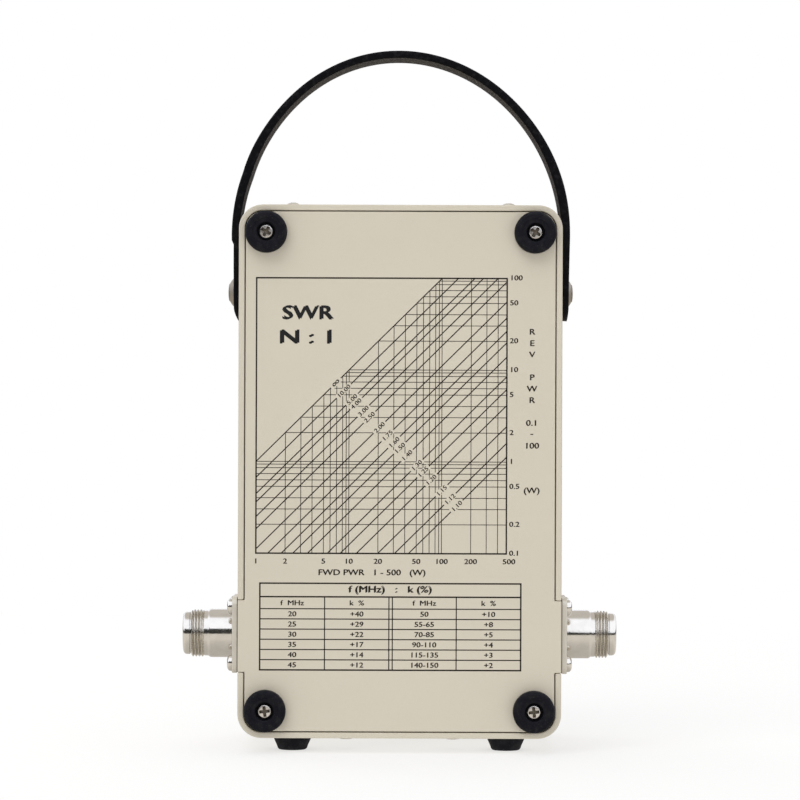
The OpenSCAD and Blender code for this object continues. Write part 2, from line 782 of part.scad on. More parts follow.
// Body of one jack, its axis along Z from the flange's seat
module jack() {
    chamfer = 0.45;
    root_r = thread_r - thread_depth;
    flank = 0.3;
    function crest(low) = [[root_r, low], [thread_r, low + flank], [thread_r, low + thread_pitch - flank],
        [root_r, low + thread_pitch]];
    difference() {
        union() {
            linear_extrude(flange_t) rounded(flange_w, flange_w, flange_r);
            rotate_extrude() polygon(concat(
                [[0, 1], [barrel_r, 1], [barrel_r, barrel_z - chamfer], [barrel_r - chamfer, barrel_z],
                    [neck_r, barrel_z], [neck_r, thread_z]],
                [for (i = [0 : thread_crests - 1]) each crest(thread_z + i * thread_pitch)],
                [[relief_r, relief_z], [relief_r, ring_z], [tip_r, ring_z], [tip_r, tip_z - chamfer],
                    [tip_r - chamfer, tip_z], [0, tip_z]]));
        }
        translate([0, 0, insulator_lip]) cylinder(r = mouth_r, h = tip_z);
        translate([0, 0, -1]) cylinder(r = mouth_r - 0.85, h = tip_z);
        at_flange_screws() translate([0, 0, -1]) cylinder(r = hole_r, h = flange_t + 2);
    }
}

module left_jack() color(nickel) at_jack(-1) jack();
module right_jack() color(nickel) at_jack(1) jack();

module jack_insulators()
    color("#f0eee8") for (side = sides)
        at_jack(side) translate([0, 0, insulator_lip])
            ring(mouth_r - snug, contact_r + snug, floor_z - insulator_lip);

module jack_contacts() {
    front = tip_z - contact_drop;
    color(brass) for (side = sides) at_jack(side) difference() {
        union() {
            cylinder(r = contact_r, h = front);
            translate([0, 0, -pin_reach]) cylinder(r = contact_pin_r, h = pin_reach + 1);
        }
        translate([0, 0, front - 5]) cylinder(r = contact_bore_r, h = 6);
        for (turn = [0, 90])
            rotate(turn) translate([-contact_r - 1, -0.15, front - 3.5]) cube([2 * contact_r + 2, 0.3, 4]);
    }
}

module jack_screws()
    color(nickel) for (side = sides)
        at_jack(side) at_flange_screws() translate([0, 0, flange_t])
            screw(flange_head_r, flange_head_h, screw_r, flange_t + flange_screw_l);

module coupler_board()
    color(board) difference() {
        translate([-coupler_w / 2, block_front_y - board_t, jack_z - coupler_h / 2])
            cube([coupler_w, board_t, coupler_h]);
        for (x = sides)
            translate([x * (coupler_w / 2 - 4), block_front_y + 1, jack_z]) rotate([90, 0, 0])
                cylinder(r = screw_r, h = board_t + 2);
    }

// Terminating resistors and detector diodes on the coupler board
module coupler_parts()
    for (x = sides) {
        face_y = block_front_y - board_t;
        color("#c8b48a")
            translate([x * coupler_part_x - coupler_resistor_l / 2, face_y - coupler_resistor_r - 0.05,
                jack_z + coupler_part_z])
            rotate([0, 90, 0]) cylinder(r = coupler_resistor_r, h = coupler_resistor_l);
        color("#a8452c")
            translate([x * coupler_part_x - coupler_diode_l / 2, face_y - coupler_diode_r - 0.05,
                jack_z - coupler_part_z])
            rotate([0, 90, 0]) cylinder(r = coupler_diode_r, h = coupler_diode_l);
    }

module coupler_shield() {
    out_w = coupler_w + 2 * (shield_gap + shield_t);
    out_h = coupler_h + 2 * (shield_gap + shield_t);
    color(steel) difference() {
        translate([-out_w / 2, shield_face_y, jack_z - out_h / 2]) cube([out_w, shield_d, out_h]);
        translate([shield_t - out_w / 2, shield_face_y + shield_t, jack_z - out_h / 2 + shield_t])
            cube([out_w - 2 * shield_t, shield_d, out_h - 2 * shield_t]);
        for (x = sides)
            translate([x * feed_x, shield_face_y + 2, jack_z]) rotate([90, 0, 0])
                cylinder(r = feed_r + snug, h = 4);
    }
}

module feedthroughs()
    color("#b9a27a") for (x = sides)
        translate([x * feed_x, shield_face_y + feed_seat, jack_z]) rotate([90, 0, 0]) {
            cylinder(r = feed_r, h = feed_body_l);
            cylinder(r = feed_lead_r, h = feed_lead_l);
        }

// Moulded base of the meter: flange on the panel and barrel behind it
module meter_housing()
    color(black) difference() {
        union() {
            to_front(0, meter_z) linear_extrude(housing_t) rounded(meter_w, meter_h, meter_r);
            at_pivot() translate([0, 0, housing_back]) cylinder(r = housing_r, h = 1 - housing_back);
            for (x = sides)
                to_front(x * scale_screw_x, scale_z) cylinder(r = 2.6, h = scale_out);
        }
        at_pivot() translate([0, 0, yoke_back]) cylinder(r = housing_in_r, h = housing_t - yoke_back + 1);
        for (x = sides)
            to_front(x * scale_screw_x, scale_z) translate([0, 0, scale_out - 2.5])
                cylinder(r = scale_screw_r + snug, h = 3);
        at_meter_studs() translate([0, 0, -1]) cylinder(r = screw_r + snug, h = housing_t / 2 + 1);
        at_terminals() translate([0, 0, housing_back - 1]) cylinder(r = terminal_r + snug, h = 2);
    }

module meter_cover() {
    color("#dfe6ea", 0.35) difference() {
        to_front(0, meter_z) translate([0, 0, housing_t]) linear_extrude(lens_d)
            rounded(meter_w, meter_h, meter_r);
        to_front(0, meter_z) translate([0, 0, housing_t - 1]) linear_extrude(lens_d - lens_wall + 1)
            rounded(meter_w - 2 * lens_wall, meter_h - 2 * lens_wall, meter_r - lens_wall / 2);
        at_pivot() translate([0, -adjuster_drop, housing_t]) cylinder(r = adjuster_r + 0.1, h = lens_d + 1);
    }
}

module meter_mask() {
    mask_w = meter_w - 2;
    low_z = top_z - meter_drop - meter_h + 1;
    color(black) difference() {
        to_front(0, low_z + mask_h / 2) translate([0, 0, lens_out]) linear_extrude(mask_t)
            rounded(mask_w, mask_h, meter_r - 1);
        at_pivot() translate([0, -adjuster_drop, lens_out - 1])
            cylinder(r = adjuster_r + 0.1, h = mask_t + 2);
    }
}

module meter_scale() {
    notch_r = pillar_x + pillar_r + 0.8;
    slot_w = 2 * (notch_r - 1.5);
    cut_h = scale_out + scale_t + 1;
    color("#f1ede0") difference() {
        to_front(0, scale_z) translate([0, 0, scale_out]) linear_extrude(scale_t)
            rounded(scale_w, scale_h, 1.5);
        at_pivot() cylinder(r = notch_r, h = cut_h);
        at_pivot() translate([-slot_w / 2, -scale_h, 0]) cube([slot_w, scale_h, cut_h]);
        for (x = sides)
            to_front(x * scale_screw_x, scale_z) cylinder(r = scale_screw_r + screw_fit, h = cut_h);
    }
}

module scale_screws()
    color(nickel) for (x = sides)
        to_front(x * scale_screw_x, scale_z) translate([0, 0, scale_out + scale_t])
            screw(scale_head_r, scale_head_h, scale_screw_r, scale_t + scale_screw_l);

module meter_magnet()
    color("#77777c") at_pivot() translate([0, 0, magnet_back]) ring(magnet_r, pole_r, magnet_l);

module meter_core()
    color("#8c8c90") at_pivot() translate([0, 0, core_back])
        ring(core_r, 2 * staff_r, magnet_front - core_back);

// Rear plate of the movement with the two pins that carry the core
module meter_yoke()
    color(steel) at_pivot() difference() {
        union() {
            translate([0, 0, yoke_back]) cylinder(r = magnet_r, h = yoke_t);
            for (y = ends)
                translate([0, y * core_r * 0.65, yoke_back + 0.5])
                    cylinder(r = 1.3, h = core_back - yoke_back - 0.5);
        }
        translate([0, 0, yoke_back - 1]) cylinder(r = jewel_r + snug, h = yoke_t + 2);
    }

module front_bridge()
    color(brass) at_pivot() difference() {
        union() {
            translate([-pillar_x - bridge_w / 2, -bridge_w / 2, bridge_out])
                cube([2 * pillar_x + bridge_w, bridge_w, bridge_t]);
            for (x = sides)
                translate([x * pillar_x, 0, magnet_front])
                    cylinder(r = pillar_r, h = bridge_out + pillar_root - magnet_front);
        }
        translate([0, 0, bridge_out - 1]) cylinder(r = jewel_r + snug, h = bridge_t + 2);
    }

module jewel_screws()
    color(brass) at_pivot() {
        difference() {
            translate([0, 0, jewel_out]) cylinder(r = jewel_r, h = jewel_l);
            translate([0, 0, jewel_out - 1]) cylinder(r = staff_r + staff_run, h = jewel_bore_d + 1);
            translate([-3, -0.25, jewel_out + jewel_l - 0.6]) cube([6, 0.5, 1]);
        }
        difference() {
            translate([0, 0, rear_jewel_out - rear_jewel_l]) cylinder(r = jewel_r, h = rear_jewel_l);
            translate([0, 0, rear_jewel_out - jewel_bore_d])
                cylinder(r = staff_r + staff_run, h = jewel_bore_d + 1);
        }
    }

module moving_coil()
    color("#a5632f") at_pivot() rotate(pointer_swing) difference() {
        translate([-coil_out_r, -coil_w / 2, coil_back])
            cube([2 * coil_out_r, coil_w, coil_front - coil_back]);
        translate([-coil_in_r, -coil_w, coil_back + coil_bar])
            cube([2 * coil_in_r, 2 * coil_w, coil_front - coil_back - 2 * coil_bar]);
        translate([0, 0, coil_back - 1]) cylinder(r = staff_r + 0.01, h = coil_front - coil_back + 2);
    }

module pivot_staff() {
    low = rear_jewel_out - jewel_bore_d + 0.1;
    high = jewel_out + jewel_bore_d - 0.1;
    color(steel) at_pivot() translate([0, 0, low]) cylinder(r = staff_r, h = high - low);
}

module pointer() {
    hub_r = 2.2;
    tail_l = 11;
    color(black) at_pivot() rotate(pointer_swing) translate([0, 0, pointer_out]) linear_extrude(pointer_t)
        difference() {
            union() {
                circle(hub_r);
                polygon([[-0.7, -tail_l], [0.7, -tail_l], [0.9, 0], [0.25, pointer_l],
                    [-0.25, pointer_l], [-0.9, 0]]);
                translate([-1.8, -tail_l]) square([3.6, 3.5]);
            }
            circle(staff_r + snug);
        }
}

// Flat spiral from its collet on the staff out to the zero lever
module hairspring() {
    collet_r = 1.1;
    outer_r = 5;
    start_r = collet_r - 0.3;
    strip = 0.14;
    turn_steps = 20;
    span = spring_turns * turn_steps;
    function spiral(i, off) =
        let (a = 360 * i / turn_steps, r = start_r + (outer_r - start_r) * i / span + off)
        [r * cos(a), r * sin(a)];
    color("#4a6a8c") at_pivot() translate([0, 0, spring_out]) {
        ring(collet_r, staff_r + 0.01, spring_t);
        rotate(-90) linear_extrude(spring_t) difference() {
            polygon(concat([for (i = [0 : span]) spiral(i, 0)],
                [for (i = [span : -1 : 0]) spiral(i, strip)]));
            circle(collet_r - snug);
        }
    }
}

module zero_lever() {
    arm_l = adjuster_drop + adjuster_throw + 1.6;
    slot_w = 2 * (adjuster_pin_r + slot_fit);
    slot_top = adjuster_drop - adjuster_throw;
    tab_r = 5.2;
    color(brass) at_pivot() {
        translate([0, 0, lever_out]) linear_extrude(lever_t) difference() {
            union() {
                circle(3.6);
                translate([-1.9, -arm_l]) square([3.8, arm_l]);
            }
            circle(jewel_r + 0.05);
            translate([-slot_w / 2, -arm_l - 1]) square([slot_w, arm_l + 1 - slot_top]);
        }
        // Tab that the hairspring's outer end is pinned to
        translate([-0.6, -tab_r - 0.8, spring_out]) cube([1.2, 0.6, lever_out - spring_out + 0.1]);
    }
}

module zero_adjuster() {
    inner = lens_out - lens_wall;
    pin_low = lever_out - 0.2;
    flange_low = inner - 1.4;
    head_out = mask_out + 0.5;
    color("#b8b2a4") at_pivot() translate([0, -adjuster_drop, 0]) difference() {
        union() {
            translate([0, -adjuster_throw, pin_low])
                cylinder(r = adjuster_pin_r, h = flange_low - pin_low + 0.2);
            translate([0, 0, flange_low]) cylinder(r = adjuster_r + 0.9, h = 1.2);
            translate([0, 0, flange_low]) cylinder(r = adjuster_r, h = head_out - flange_low);
        }
        translate([-3, -0.35, head_out - 0.8]) cube([6, 0.7, 1.2]);
    }
}

module meter_studs()
    color(brass) at_meter_studs() translate([0, 0, -sheet_t - meter_stud_back])
        cylinder(r = screw_r, h = sheet_t + meter_stud_back + housing_t / 2);

module meter_stud_nuts()
    color(steel) at_meter_studs() translate([0, 0, -sheet_t - meter_nut_h])
        hex_nut(meter_nut_across, screw_r + snug, meter_nut_h);

module terminal_studs() {
    end_out = board_out - terminal_nut_h - 3;
    color(brass) at_terminals() translate([0, 0, end_out])
        cylinder(r = terminal_r, h = housing_back + 1 - end_out);
}

module terminal_nuts()
    color(steel) at_terminals()
        for (out = [housing_back - terminal_nut_h, board_out - terminal_nut_h])
            translate([0, 0, out]) hex_nut(terminal_nut_across, terminal_r + snug, terminal_nut_h);

module main_board()
    color(board) difference() {
        to_front(0, board_z) translate([0, 0, board_out]) linear_extrude(board_t)
            square([board_w, board_h], center = true);
        at_terminals() translate([0, 0, board_out - 1]) cylinder(r = terminal_r + 0.1, h = board_t + 2);
    }

// Range resistors and capacitors on the back of the main board
module board_parts() {
    for (i = [0 : range_count - 1])
        color("#c8b48a") to_front(0, board_z)
            translate([resistor_x + resistor_pitch * i, resistor_rise, board_out - resistor_r - 0.05])
            rotate([90, 0, 0]) cylinder(r = resistor_r, h = resistor_l);
    for (i = [0 : range_count - 1])
        color("#7a4a30") to_front(0, board_z)
            translate([resistor_rise + diode_pitch * i, resistor_rise + 5, board_out - diode_r - 0.1])
            rotate([90, 0, 0]) cylinder(r = diode_r, h = diode_l);
    color("#2e4a7a") for (x = sides)
        to_front(x * capacitor_x, board_z - capacitor_x / 2) translate([0, 0, board_out - capacitor_h])
            cylinder(r = capacitor_r, h = capacitor_h);
}

module range_knob() {
    flute_depth = 0.8;
    grip = [for (i = [0 : flutes - 1], k = [0 : 3])
        let (a = 360 * (i + k / 4) / flutes, r = k < 2 ? grip_r : grip_r - flute_depth)
        [r * cos(a), r * sin(a)]];
    color(black) to_front(knob_x, control_z) difference() {
        union() {
            translate([0, 0, knob_gap]) cylinder(r = skirt_r, h = 2.2);
            translate([0, 0, knob_gap + 2.2]) cylinder(r1 = skirt_r, r2 = grip_r + 0.4, h = 1.6);
            translate([0, 0, knob_gap + 3]) linear_extrude(knob_h - 4) polygon(grip);
            translate([0, 0, knob_gap + knob_h - 1.5]) cylinder(r = grip_r - 1.4, h = 1.5);
        }
        cylinder(r = nut_across / 2 / cos(30) + 0.6, h = nut_t + 0.8);
        cylinder(r = bushing_r + 0.4, h = bushing_l + 0.6);
        cylinder(r = shaft_r + snug, h = knob_h - 2);
        translate([0, 0, set_screw_out]) rotate([-90, 0, 0])
            cylinder(r = screw_r + snug, h = skirt_r);
    }
}

module knob_set_screw()
    color(steel) to_front(knob_x, control_z) translate([0, shaft_r + snug, set_screw_out])
        rotate([-90, 0, 0]) cylinder(r = screw_r, h = grip_r - shaft_r - 2);

module switch_shaft()
    color(steel) to_front(knob_x, control_z) translate([0, 0, switch_back + 2])
        cylinder(r = shaft_r, h = knob_h - 2.5 - switch_back - 2);

module switch_rotor()
    color("#8a6a40") to_front(knob_x, control_z) difference() {
        union() {
            translate([0, 0, switch_back + 4]) cylinder(r = switch_r - 2.6, h = rotor_t);
            translate([0, 0, switch_back + 4]) cylinder(r = shaft_r + 1.4, h = 2 * rotor_t);
        }
        translate([0, 0, switch_back]) cylinder(r = shaft_r + snug, h = switch_d);
    }

module switch_body()
    color("#54412c") to_front(knob_x, control_z) {
        difference() {
            union() {
                translate([0, 0, -sheet_t - switch_plate_t]) linear_extrude(switch_plate_t)
                    rounded(switch_plate_w, switch_plate_w, 3);
                translate([0, 0, switch_back]) cylinder(r = switch_r, h = switch_d + 0.5);
                translate([0, 0, -sheet_t - 1]) cylinder(r = bushing_r, h = sheet_t + 1 + bushing_l);
            }
            translate([0, 0, switch_back + 1.5]) cylinder(r = switch_r - 2, h = switch_d - 2);
            cylinder_l = bushing_l - switch_back;
            translate([0, 0, switch_back + 4]) cylinder(r = shaft_r + shaft_run, h = cylinder_l);
        }
        for (i = [0 : range_count])
            rotate(-range_step * i) translate([-lug_w / 2, switch_r - 3, switch_back - pin_l])
                cube([lug_w, lug_t, pin_l + 0.5]);
    }

module switch_nut()
    color(nickel) to_front(knob_x, control_z) hex_nut(nut_across, bushing_r + snug, nut_t);

module toggle_body() {
    room_w = toggle_body_w - 2 * toggle_wall;
    room_h = toggle_body_h - 2 * toggle_wall;
    color("#8f2f28") to_front(toggle_x, control_z) {
        difference() {
            union() {
                translate([-toggle_body_w / 2, -toggle_body_h / 2, toggle_back])
                    cube([toggle_body_w, toggle_body_h, toggle_body_d]);
                translate([0, 0, -sheet_t - 1]) cylinder(r = toggle_out_r, h = sheet_t + 1 + toggle_out);
            }
            translate([-room_w / 2, -room_h / 2, toggle_back + toggle_wall])
                cube([room_w, room_h, toggle_body_d - 2 * toggle_wall]);
            translate([0, 0, -sheet_t - 2]) cylinder(r = toggle_bore_r, h = sheet_t + 3 + toggle_out);
        }
        for (i = [-1 : 1])
            translate([-lug_w / 2, i * toggle_pin_pitch - lug_t / 2, toggle_back - pin_l])
                cube([lug_w, lug_t, pin_l + 0.5]);
    }
}

module toggle_nut()
    color(nickel) to_front(toggle_x, control_z)
        hex_nut(toggle_nut_across, toggle_out_r + snug, toggle_nut_h);

module toggle_lever() {
    bat_l = toggle_l - toggle_tip_r;
    color(nickel) to_front(toggle_x, control_z) translate([0, 0, toggle_ball_out])
        rotate([-toggle_tilt, 0, 0]) {
        sphere(r = toggle_ball_r);
        cylinder(r1 = 1.05, r2 = toggle_tip_r, h = bat_l);
        translate([0, 0, bat_l]) sphere(r = toggle_tip_r);
        translate([0, 0, -toggle_tail_l]) cylinder(r = toggle_tail_r, h = toggle_tail_l);
    }
}

module wires() {
    r = 0.7;
    gap = 0.1;
    feed_y = shield_face_y + feed_seat - feed_lead_l - gap;
    toggle_pin_y = front_y - toggle_back + pin_l + gap;
    switch_pin_y = front_y - switch_back + pin_l + gap;
    board_y = front_y - board_out - board_t / 2;
    lug_r = switch_r - 2.7;
    color("#b03a2e") wire([-feed_x, feed_y, jack_z], [0, -1, 0],
        [toggle_x, toggle_pin_y, control_z - toggle_pin_pitch], [0, 1, 0], 9, r);
    color("#2f6f9f") wire([feed_x, feed_y, jack_z], [0, -1, 0],
        [toggle_x, toggle_pin_y, control_z + toggle_pin_pitch], [0, 1, 0], 9, r);
    color("#d8c24a") wire([toggle_x, toggle_pin_y, control_z], [0, 1, 0],
        [toggle_x + 4, board_y, board_low_z - gap], [0, 0, -1], 12, r);
    color("#3a3a3c") wire([knob_x, switch_pin_y, control_z + lug_r], [0, 1, 0],
        [knob_x, board_y, board_low_z - gap], [0, 0, -1], 10, r);
}

case_shell();
front_panel();
rear_cover();
cover_screws();
press_nuts();
rear_feet();
rear_foot_screws();
bottom_feet();
bottom_foot_screws();
strap_handle();
strap_spacers();
strap_cup_washers();
strap_screws();
line_block();
line_posts();
line_post_screws();
line_conductor();
left_jack();
right_jack();
jack_insulators();
jack_contacts();
jack_screws();
coupler_board();
coupler_parts();
coupler_shield();
feedthroughs();
meter_housing();
meter_cover();
meter_mask();
meter_scale();
scale_screws();
meter_magnet();
meter_core();
meter_yoke();
front_bridge();
jewel_screws();
moving_coil();
pivot_staff();
pointer();
hairspring();
zero_adjuster();
zero_lever();
meter_studs();
meter_stud_nuts();
terminal_studs();
terminal_nuts();
main_board();
board_parts();
range_knob();
knob_set_screw();
switch_shaft();
switch_rotor();
switch_body();
switch_nut();
toggle_body();
toggle_nut();
toggle_lever();
wires();
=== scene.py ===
"""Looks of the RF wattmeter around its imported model: camera, studio, finishes and detailed surfaces.

The model's frame is in metres: the rear cover faces +Y, the front panel -Y, and the feet stand on
z = 0. Detailed surfaces and prints are worked out in millimetres, and MM turns those into metres.
"""
import json
import math
import random
from math import cos, pi, radians, sin

import bmesh
import bpy
from mathutils import Matrix, Vector


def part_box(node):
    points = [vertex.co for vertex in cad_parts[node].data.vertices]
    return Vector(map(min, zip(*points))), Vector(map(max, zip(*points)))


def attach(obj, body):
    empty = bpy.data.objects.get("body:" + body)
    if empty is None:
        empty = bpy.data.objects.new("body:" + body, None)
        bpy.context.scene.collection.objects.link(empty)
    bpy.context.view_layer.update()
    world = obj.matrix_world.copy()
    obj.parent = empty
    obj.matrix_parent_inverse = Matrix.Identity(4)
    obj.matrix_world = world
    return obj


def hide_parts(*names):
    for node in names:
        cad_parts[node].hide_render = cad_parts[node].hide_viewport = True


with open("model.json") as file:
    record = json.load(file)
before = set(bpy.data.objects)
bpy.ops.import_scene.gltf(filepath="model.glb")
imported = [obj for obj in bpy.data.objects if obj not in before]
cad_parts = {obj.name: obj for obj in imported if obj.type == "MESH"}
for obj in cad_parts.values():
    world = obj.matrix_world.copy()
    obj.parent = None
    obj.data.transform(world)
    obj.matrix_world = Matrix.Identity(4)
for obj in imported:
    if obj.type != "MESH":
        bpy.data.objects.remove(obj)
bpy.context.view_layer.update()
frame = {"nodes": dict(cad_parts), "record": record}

MM = 0.001
WELD = 1e-6

# Camera: distance behind the rear rim, width of the view at that rim, place and the photograph's roll
CAMERA_REACH = 1.2
VIEW_WIDTH = 0.2667
CAMERA_SIDE, CAMERA_HEIGHT = 0.0001, 0.1179
CAMERA_ROLL = radians(0.2)

# Softboxes: name, azimuth from +Y and elevation in degrees, distance, width and height, level
LAMP_TARGET = Vector((0, 0, 0.1))
SOFTBOXES = [
    ("key", 24, 46, 3.2, (2.4, 1.9), 2.02),
    ("low", -5, 1, 1.3, (1.6, 0.4), 1.03),
    ("front", 165, 47, 2.0, (2.2, 1.7), 1.0),
    ("top", 0, 88, 2.0, (1.6, 1.6), 1.35),
]

# Colours and levels of the studio, where 1 is white to the camera
WHITE = (1.0, 1.0, 1.0), 1.0
FILL = (1.0, 0.995, 0.985), 0.5
WALLS = (0.97, 1.0, 1.12), 1.36
CEILING = (1.0, 0.95, 0.92), 0.67
# Metal mirrors the floor as these glowing cards: the near one is darker, a painted shadow of the
# instrument
NEAR_CARD = (0.58, 0.55, 0.52), 1.0
FAR_CARD = (0.84, 0.80, 0.76), 1.0
FLAG = (1.0, 1.0, 1.0), 0.045
FLOOR_COLOUR = (0.96, 0.96, 0.96)
# The ceiling starts where height plus lean times the +Y part of a direction passes from low to high
CEILING_LEAN, CEILING_START = -0.6, (0.80, 1.02)
# Distances over which the floor pales to the camera, throws light up and turns from near to far card
PALE, BOUNCE, CARD = (0.30, 0.75), (0.08, 0.45), (0.06, 0.14)
PALE_LEAST = 0.62


def middle(node):
    low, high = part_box(node)
    return (low + high) / 2


def circle(steps):
    """Cosine and sine at equal steps round a circle."""
    return [(cos(2 * pi * k / steps), sin(2 * pi * k / steps)) for k in range(steps)]


# Studio
def new_object(name, data):
    """Object of data in the scene."""
    obj = bpy.data.objects.new(name, data)
    bpy.context.scene.collection.objects.link(obj)
    return obj


def aim(obj, place, target, roll=0.0):
    """Puts obj at place with its -Z towards target."""
    obj.location = place
    turn = (Vector(target) - Vector(place)).to_track_quat("-Z", "Y")
    obj.rotation_euler = (turn.to_matrix() @ Matrix.Rotation(roll, 3, "Z")).to_euler()


def add_camera():
    """Camera square on to the rear cover, as in the photograph."""
    data = bpy.data.cameras.new("camera")
    data.sensor_width = 36
    data.lens = data.sensor_width * CAMERA_REACH / VIEW_WIDTH
    data.clip_start, data.clip_end = 0.05, 60
    camera = new_object("camera", data)
    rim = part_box("case_shell")[1].y
    place = Vector((CAMERA_SIDE, rim + CAMERA_REACH, CAMERA_HEIGHT))
    aim(camera, place, place - Vector((0, 1, 0)), CAMERA_ROLL)
    bpy.context.scene.camera = camera


def add_softbox(name, azimuth, elevation, distance, size, level):
    """Softbox that faces the instrument. Metal doesn't mirror it, because it mirrors the world."""
    data = bpy.data.lights.new(name, "AREA")
    data.shape = "RECTANGLE"
    data.size, data.size_y = size
    data.energy = level * pi * size[0] * size[1]
    lamp = new_object(name, data)
    lamp.visible_glossy = False
    a, e = radians(azimuth), radians(elevation)
    way = Vector((sin(a) * cos(e), cos(a) * cos(e), sin(e)))
    aim(lamp, LAMP_TARGET + way * distance, LAMP_TARGET)


class Graph:
    """Shader nodes of a material or the world. An input takes a value or the output that feeds it."""

    def __init__(self, owner):
        owner.use_nodes = True
        self.nodes, self.links = owner.node_tree.nodes, owner.node_tree.links

    def feed(self, node, inputs):
        for socket, value in inputs.items():
            if isinstance(value, bpy.types.NodeSocket):
                self.links.new(value, node.inputs[socket])
            else:
                node.inputs[socket].default_value = value

    def add(self, kind, inputs=None, **settings):
        """Outputs of a new node."""
        made = self.nodes.new("ShaderNode" + kind)
        for key, value in settings.items():
            setattr(made, key, value)
        self.feed(made, inputs or {})
        return made.outputs

    def glow(self, kind, colour, level):
        """Background or emission of that colour and level."""
        return self.add(kind, {"Color": (*colour, 1), "Strength": level})[0]

    def blend(self, factor, first, second):
        """Shader that is first where factor is 0 and second where it is 1."""
        return self.add("MixShader", {"Fac": factor, 1: first, 2: second})[0]

    def combine(self, operation, a, b):
        return self.add("Math", {0: a, 1: b}, operation=operation)[0]

    def ramp(self, factor, low, high, first=0.0, last=1.0, kind="LINEAR"):
        """first below low, last above high, and a blend between them."""
        inputs = {"Value": factor, "From Min": low, "From Max": high, "To Min": first, "To Max": last}
        return self.add("MapRange", inputs, interpolation_type=kind)["Result"]

    def beyond(self, near, far):
        """0 nearer the instrument than near and 1 beyond far."""
        spot = self.add("NewGeometry")["Position"]
        length = self.add("VectorMath", {0: spot}, operation="LENGTH")["Value"]
        return self.ramp(length, near, far, kind="SMOOTHSTEP")

    def seen(self, path):
        """1 for what the camera sees, also through the clear cover."""
        return self.combine("MAXIMUM", path["Is Camera Ray"], path["Is Transmission Ray"])


def stage_piece(name, corners, faces):
    """Object of the studio and the graph of its material."""
    mesh = bpy.data.meshes.new(name)
    mesh.from_pydata(corners, [], faces)
    mesh.materials.append(bpy.data.materials.new(name))
    return new_object(name, mesh), Graph(mesh.materials[0])


def add_world():
    """White for the camera and glass, a pale ceiling in metal, and a soft fill for everything else."""
    world = bpy.data.worlds.new("studio")
    bpy.context.scene.world = world
    g = Graph(world)
    g.nodes.clear()
    path = g.add("LightPath")
    # Metal shows bright walls and a darker ceiling, which reaches lower in front of the instrument
    way = g.add("SeparateXYZ", {0: g.add("TexCoord")["Generated"]})
    height = g.add("Math", {0: way["Y"], 1: CEILING_LEAN, 2: way["Z"]}, operation="MULTIPLY_ADD")[0]
    above = g.ramp(height, *CEILING_START, kind="SMOOTHSTEP")
    mirrored = g.blend(above, g.glow("Background", *WALLS), g.glow("Background", *CEILING))
    shown = g.blend(path["Is Glossy Ray"], g.glow("Background", *FILL), mirrored)
    shown = g.blend(g.seen(path), shown, g.glow("Background", *WHITE))
    g.add("OutputWorld", {"Surface": shown})


def add_floor():
    """Pale floor under the feet: white to the camera farther off, and in polished metal a glowing card,
    darker near the feet as a painted shadow.
    """
    reach = 12.0
    corners = [(-reach, -reach, 0), (reach, -reach, 0), (reach, reach, 0), (-reach, reach, 0)]
    floor, g = stage_piece("floor", corners, [(0, 1, 2, 3)])
    shader = g.nodes["Principled BSDF"]
    g.feed(shader, {"Base Color": (*FLOOR_COLOUR, 1), "Roughness": 0.9, "Specular IOR Level": 0.0})
    path = g.add("LightPath")
    # The camera sees a paler shadow near the feet and plain white farther off
    paler = g.ramp(g.beyond(*PALE), 0, 1, PALE_LEAST, 1)
    whiter = g.combine("MULTIPLY", g.seen(path), paler)
    # It throws more light up on the instrument close to the feet
    bounce = g.ramp(g.beyond(*BOUNCE), 0, 1, 1, 0)
    whiter = g.combine("ADD", whiter, g.combine("MULTIPLY", path["Is Diffuse Ray"], bounce))
    # Metal sees the darker near card by the feet, a painted shadow, and the paler far card beyond
    card = g.blend(g.beyond(*CARD), g.glow("Emission", *NEAR_CARD), g.glow("Emission", *FAR_CARD))
    shown = g.blend(whiter, shader.outputs[0], g.glow("Emission", *WHITE))
    shown = g.blend(path["Is Glossy Ray"], shown, card)
    g.feed(g.nodes["Material Output"], {"Surface": shown})


def add_flags():
    """Dark band low round the studio, tallest behind the camera's left, which only metal mirrors."""
    radius, sides = 3.0, 72
    bottom, low, short, tall = 0.01, 0.40, 0.60, 1.36
    climb, onset = 2.2, 0.6
    corners, faces = [], []
    for i, (c, s) in enumerate(circle(sides)):
        share = min(1.0, max(0.0, climb * s - onset))
        top = low + ((tall if c > -0.01 else short) - low) * share
        corners += [(radius * c, radius * s, z) for z in (bottom, top)]
        j = (i + 1) % sides
        faces.append((2 * i, 2 * j, 2 * j + 1, 2 * i + 1))
    flags, g = stage_piece("flags", corners, faces)
    g.feed(g.nodes["Material Output"], {"Surface": g.glow("Emission", *FLAG)})
    for kind in ("camera", "diffuse", "transmission", "shadow"):
        setattr(flags, "visible_" + kind, False)


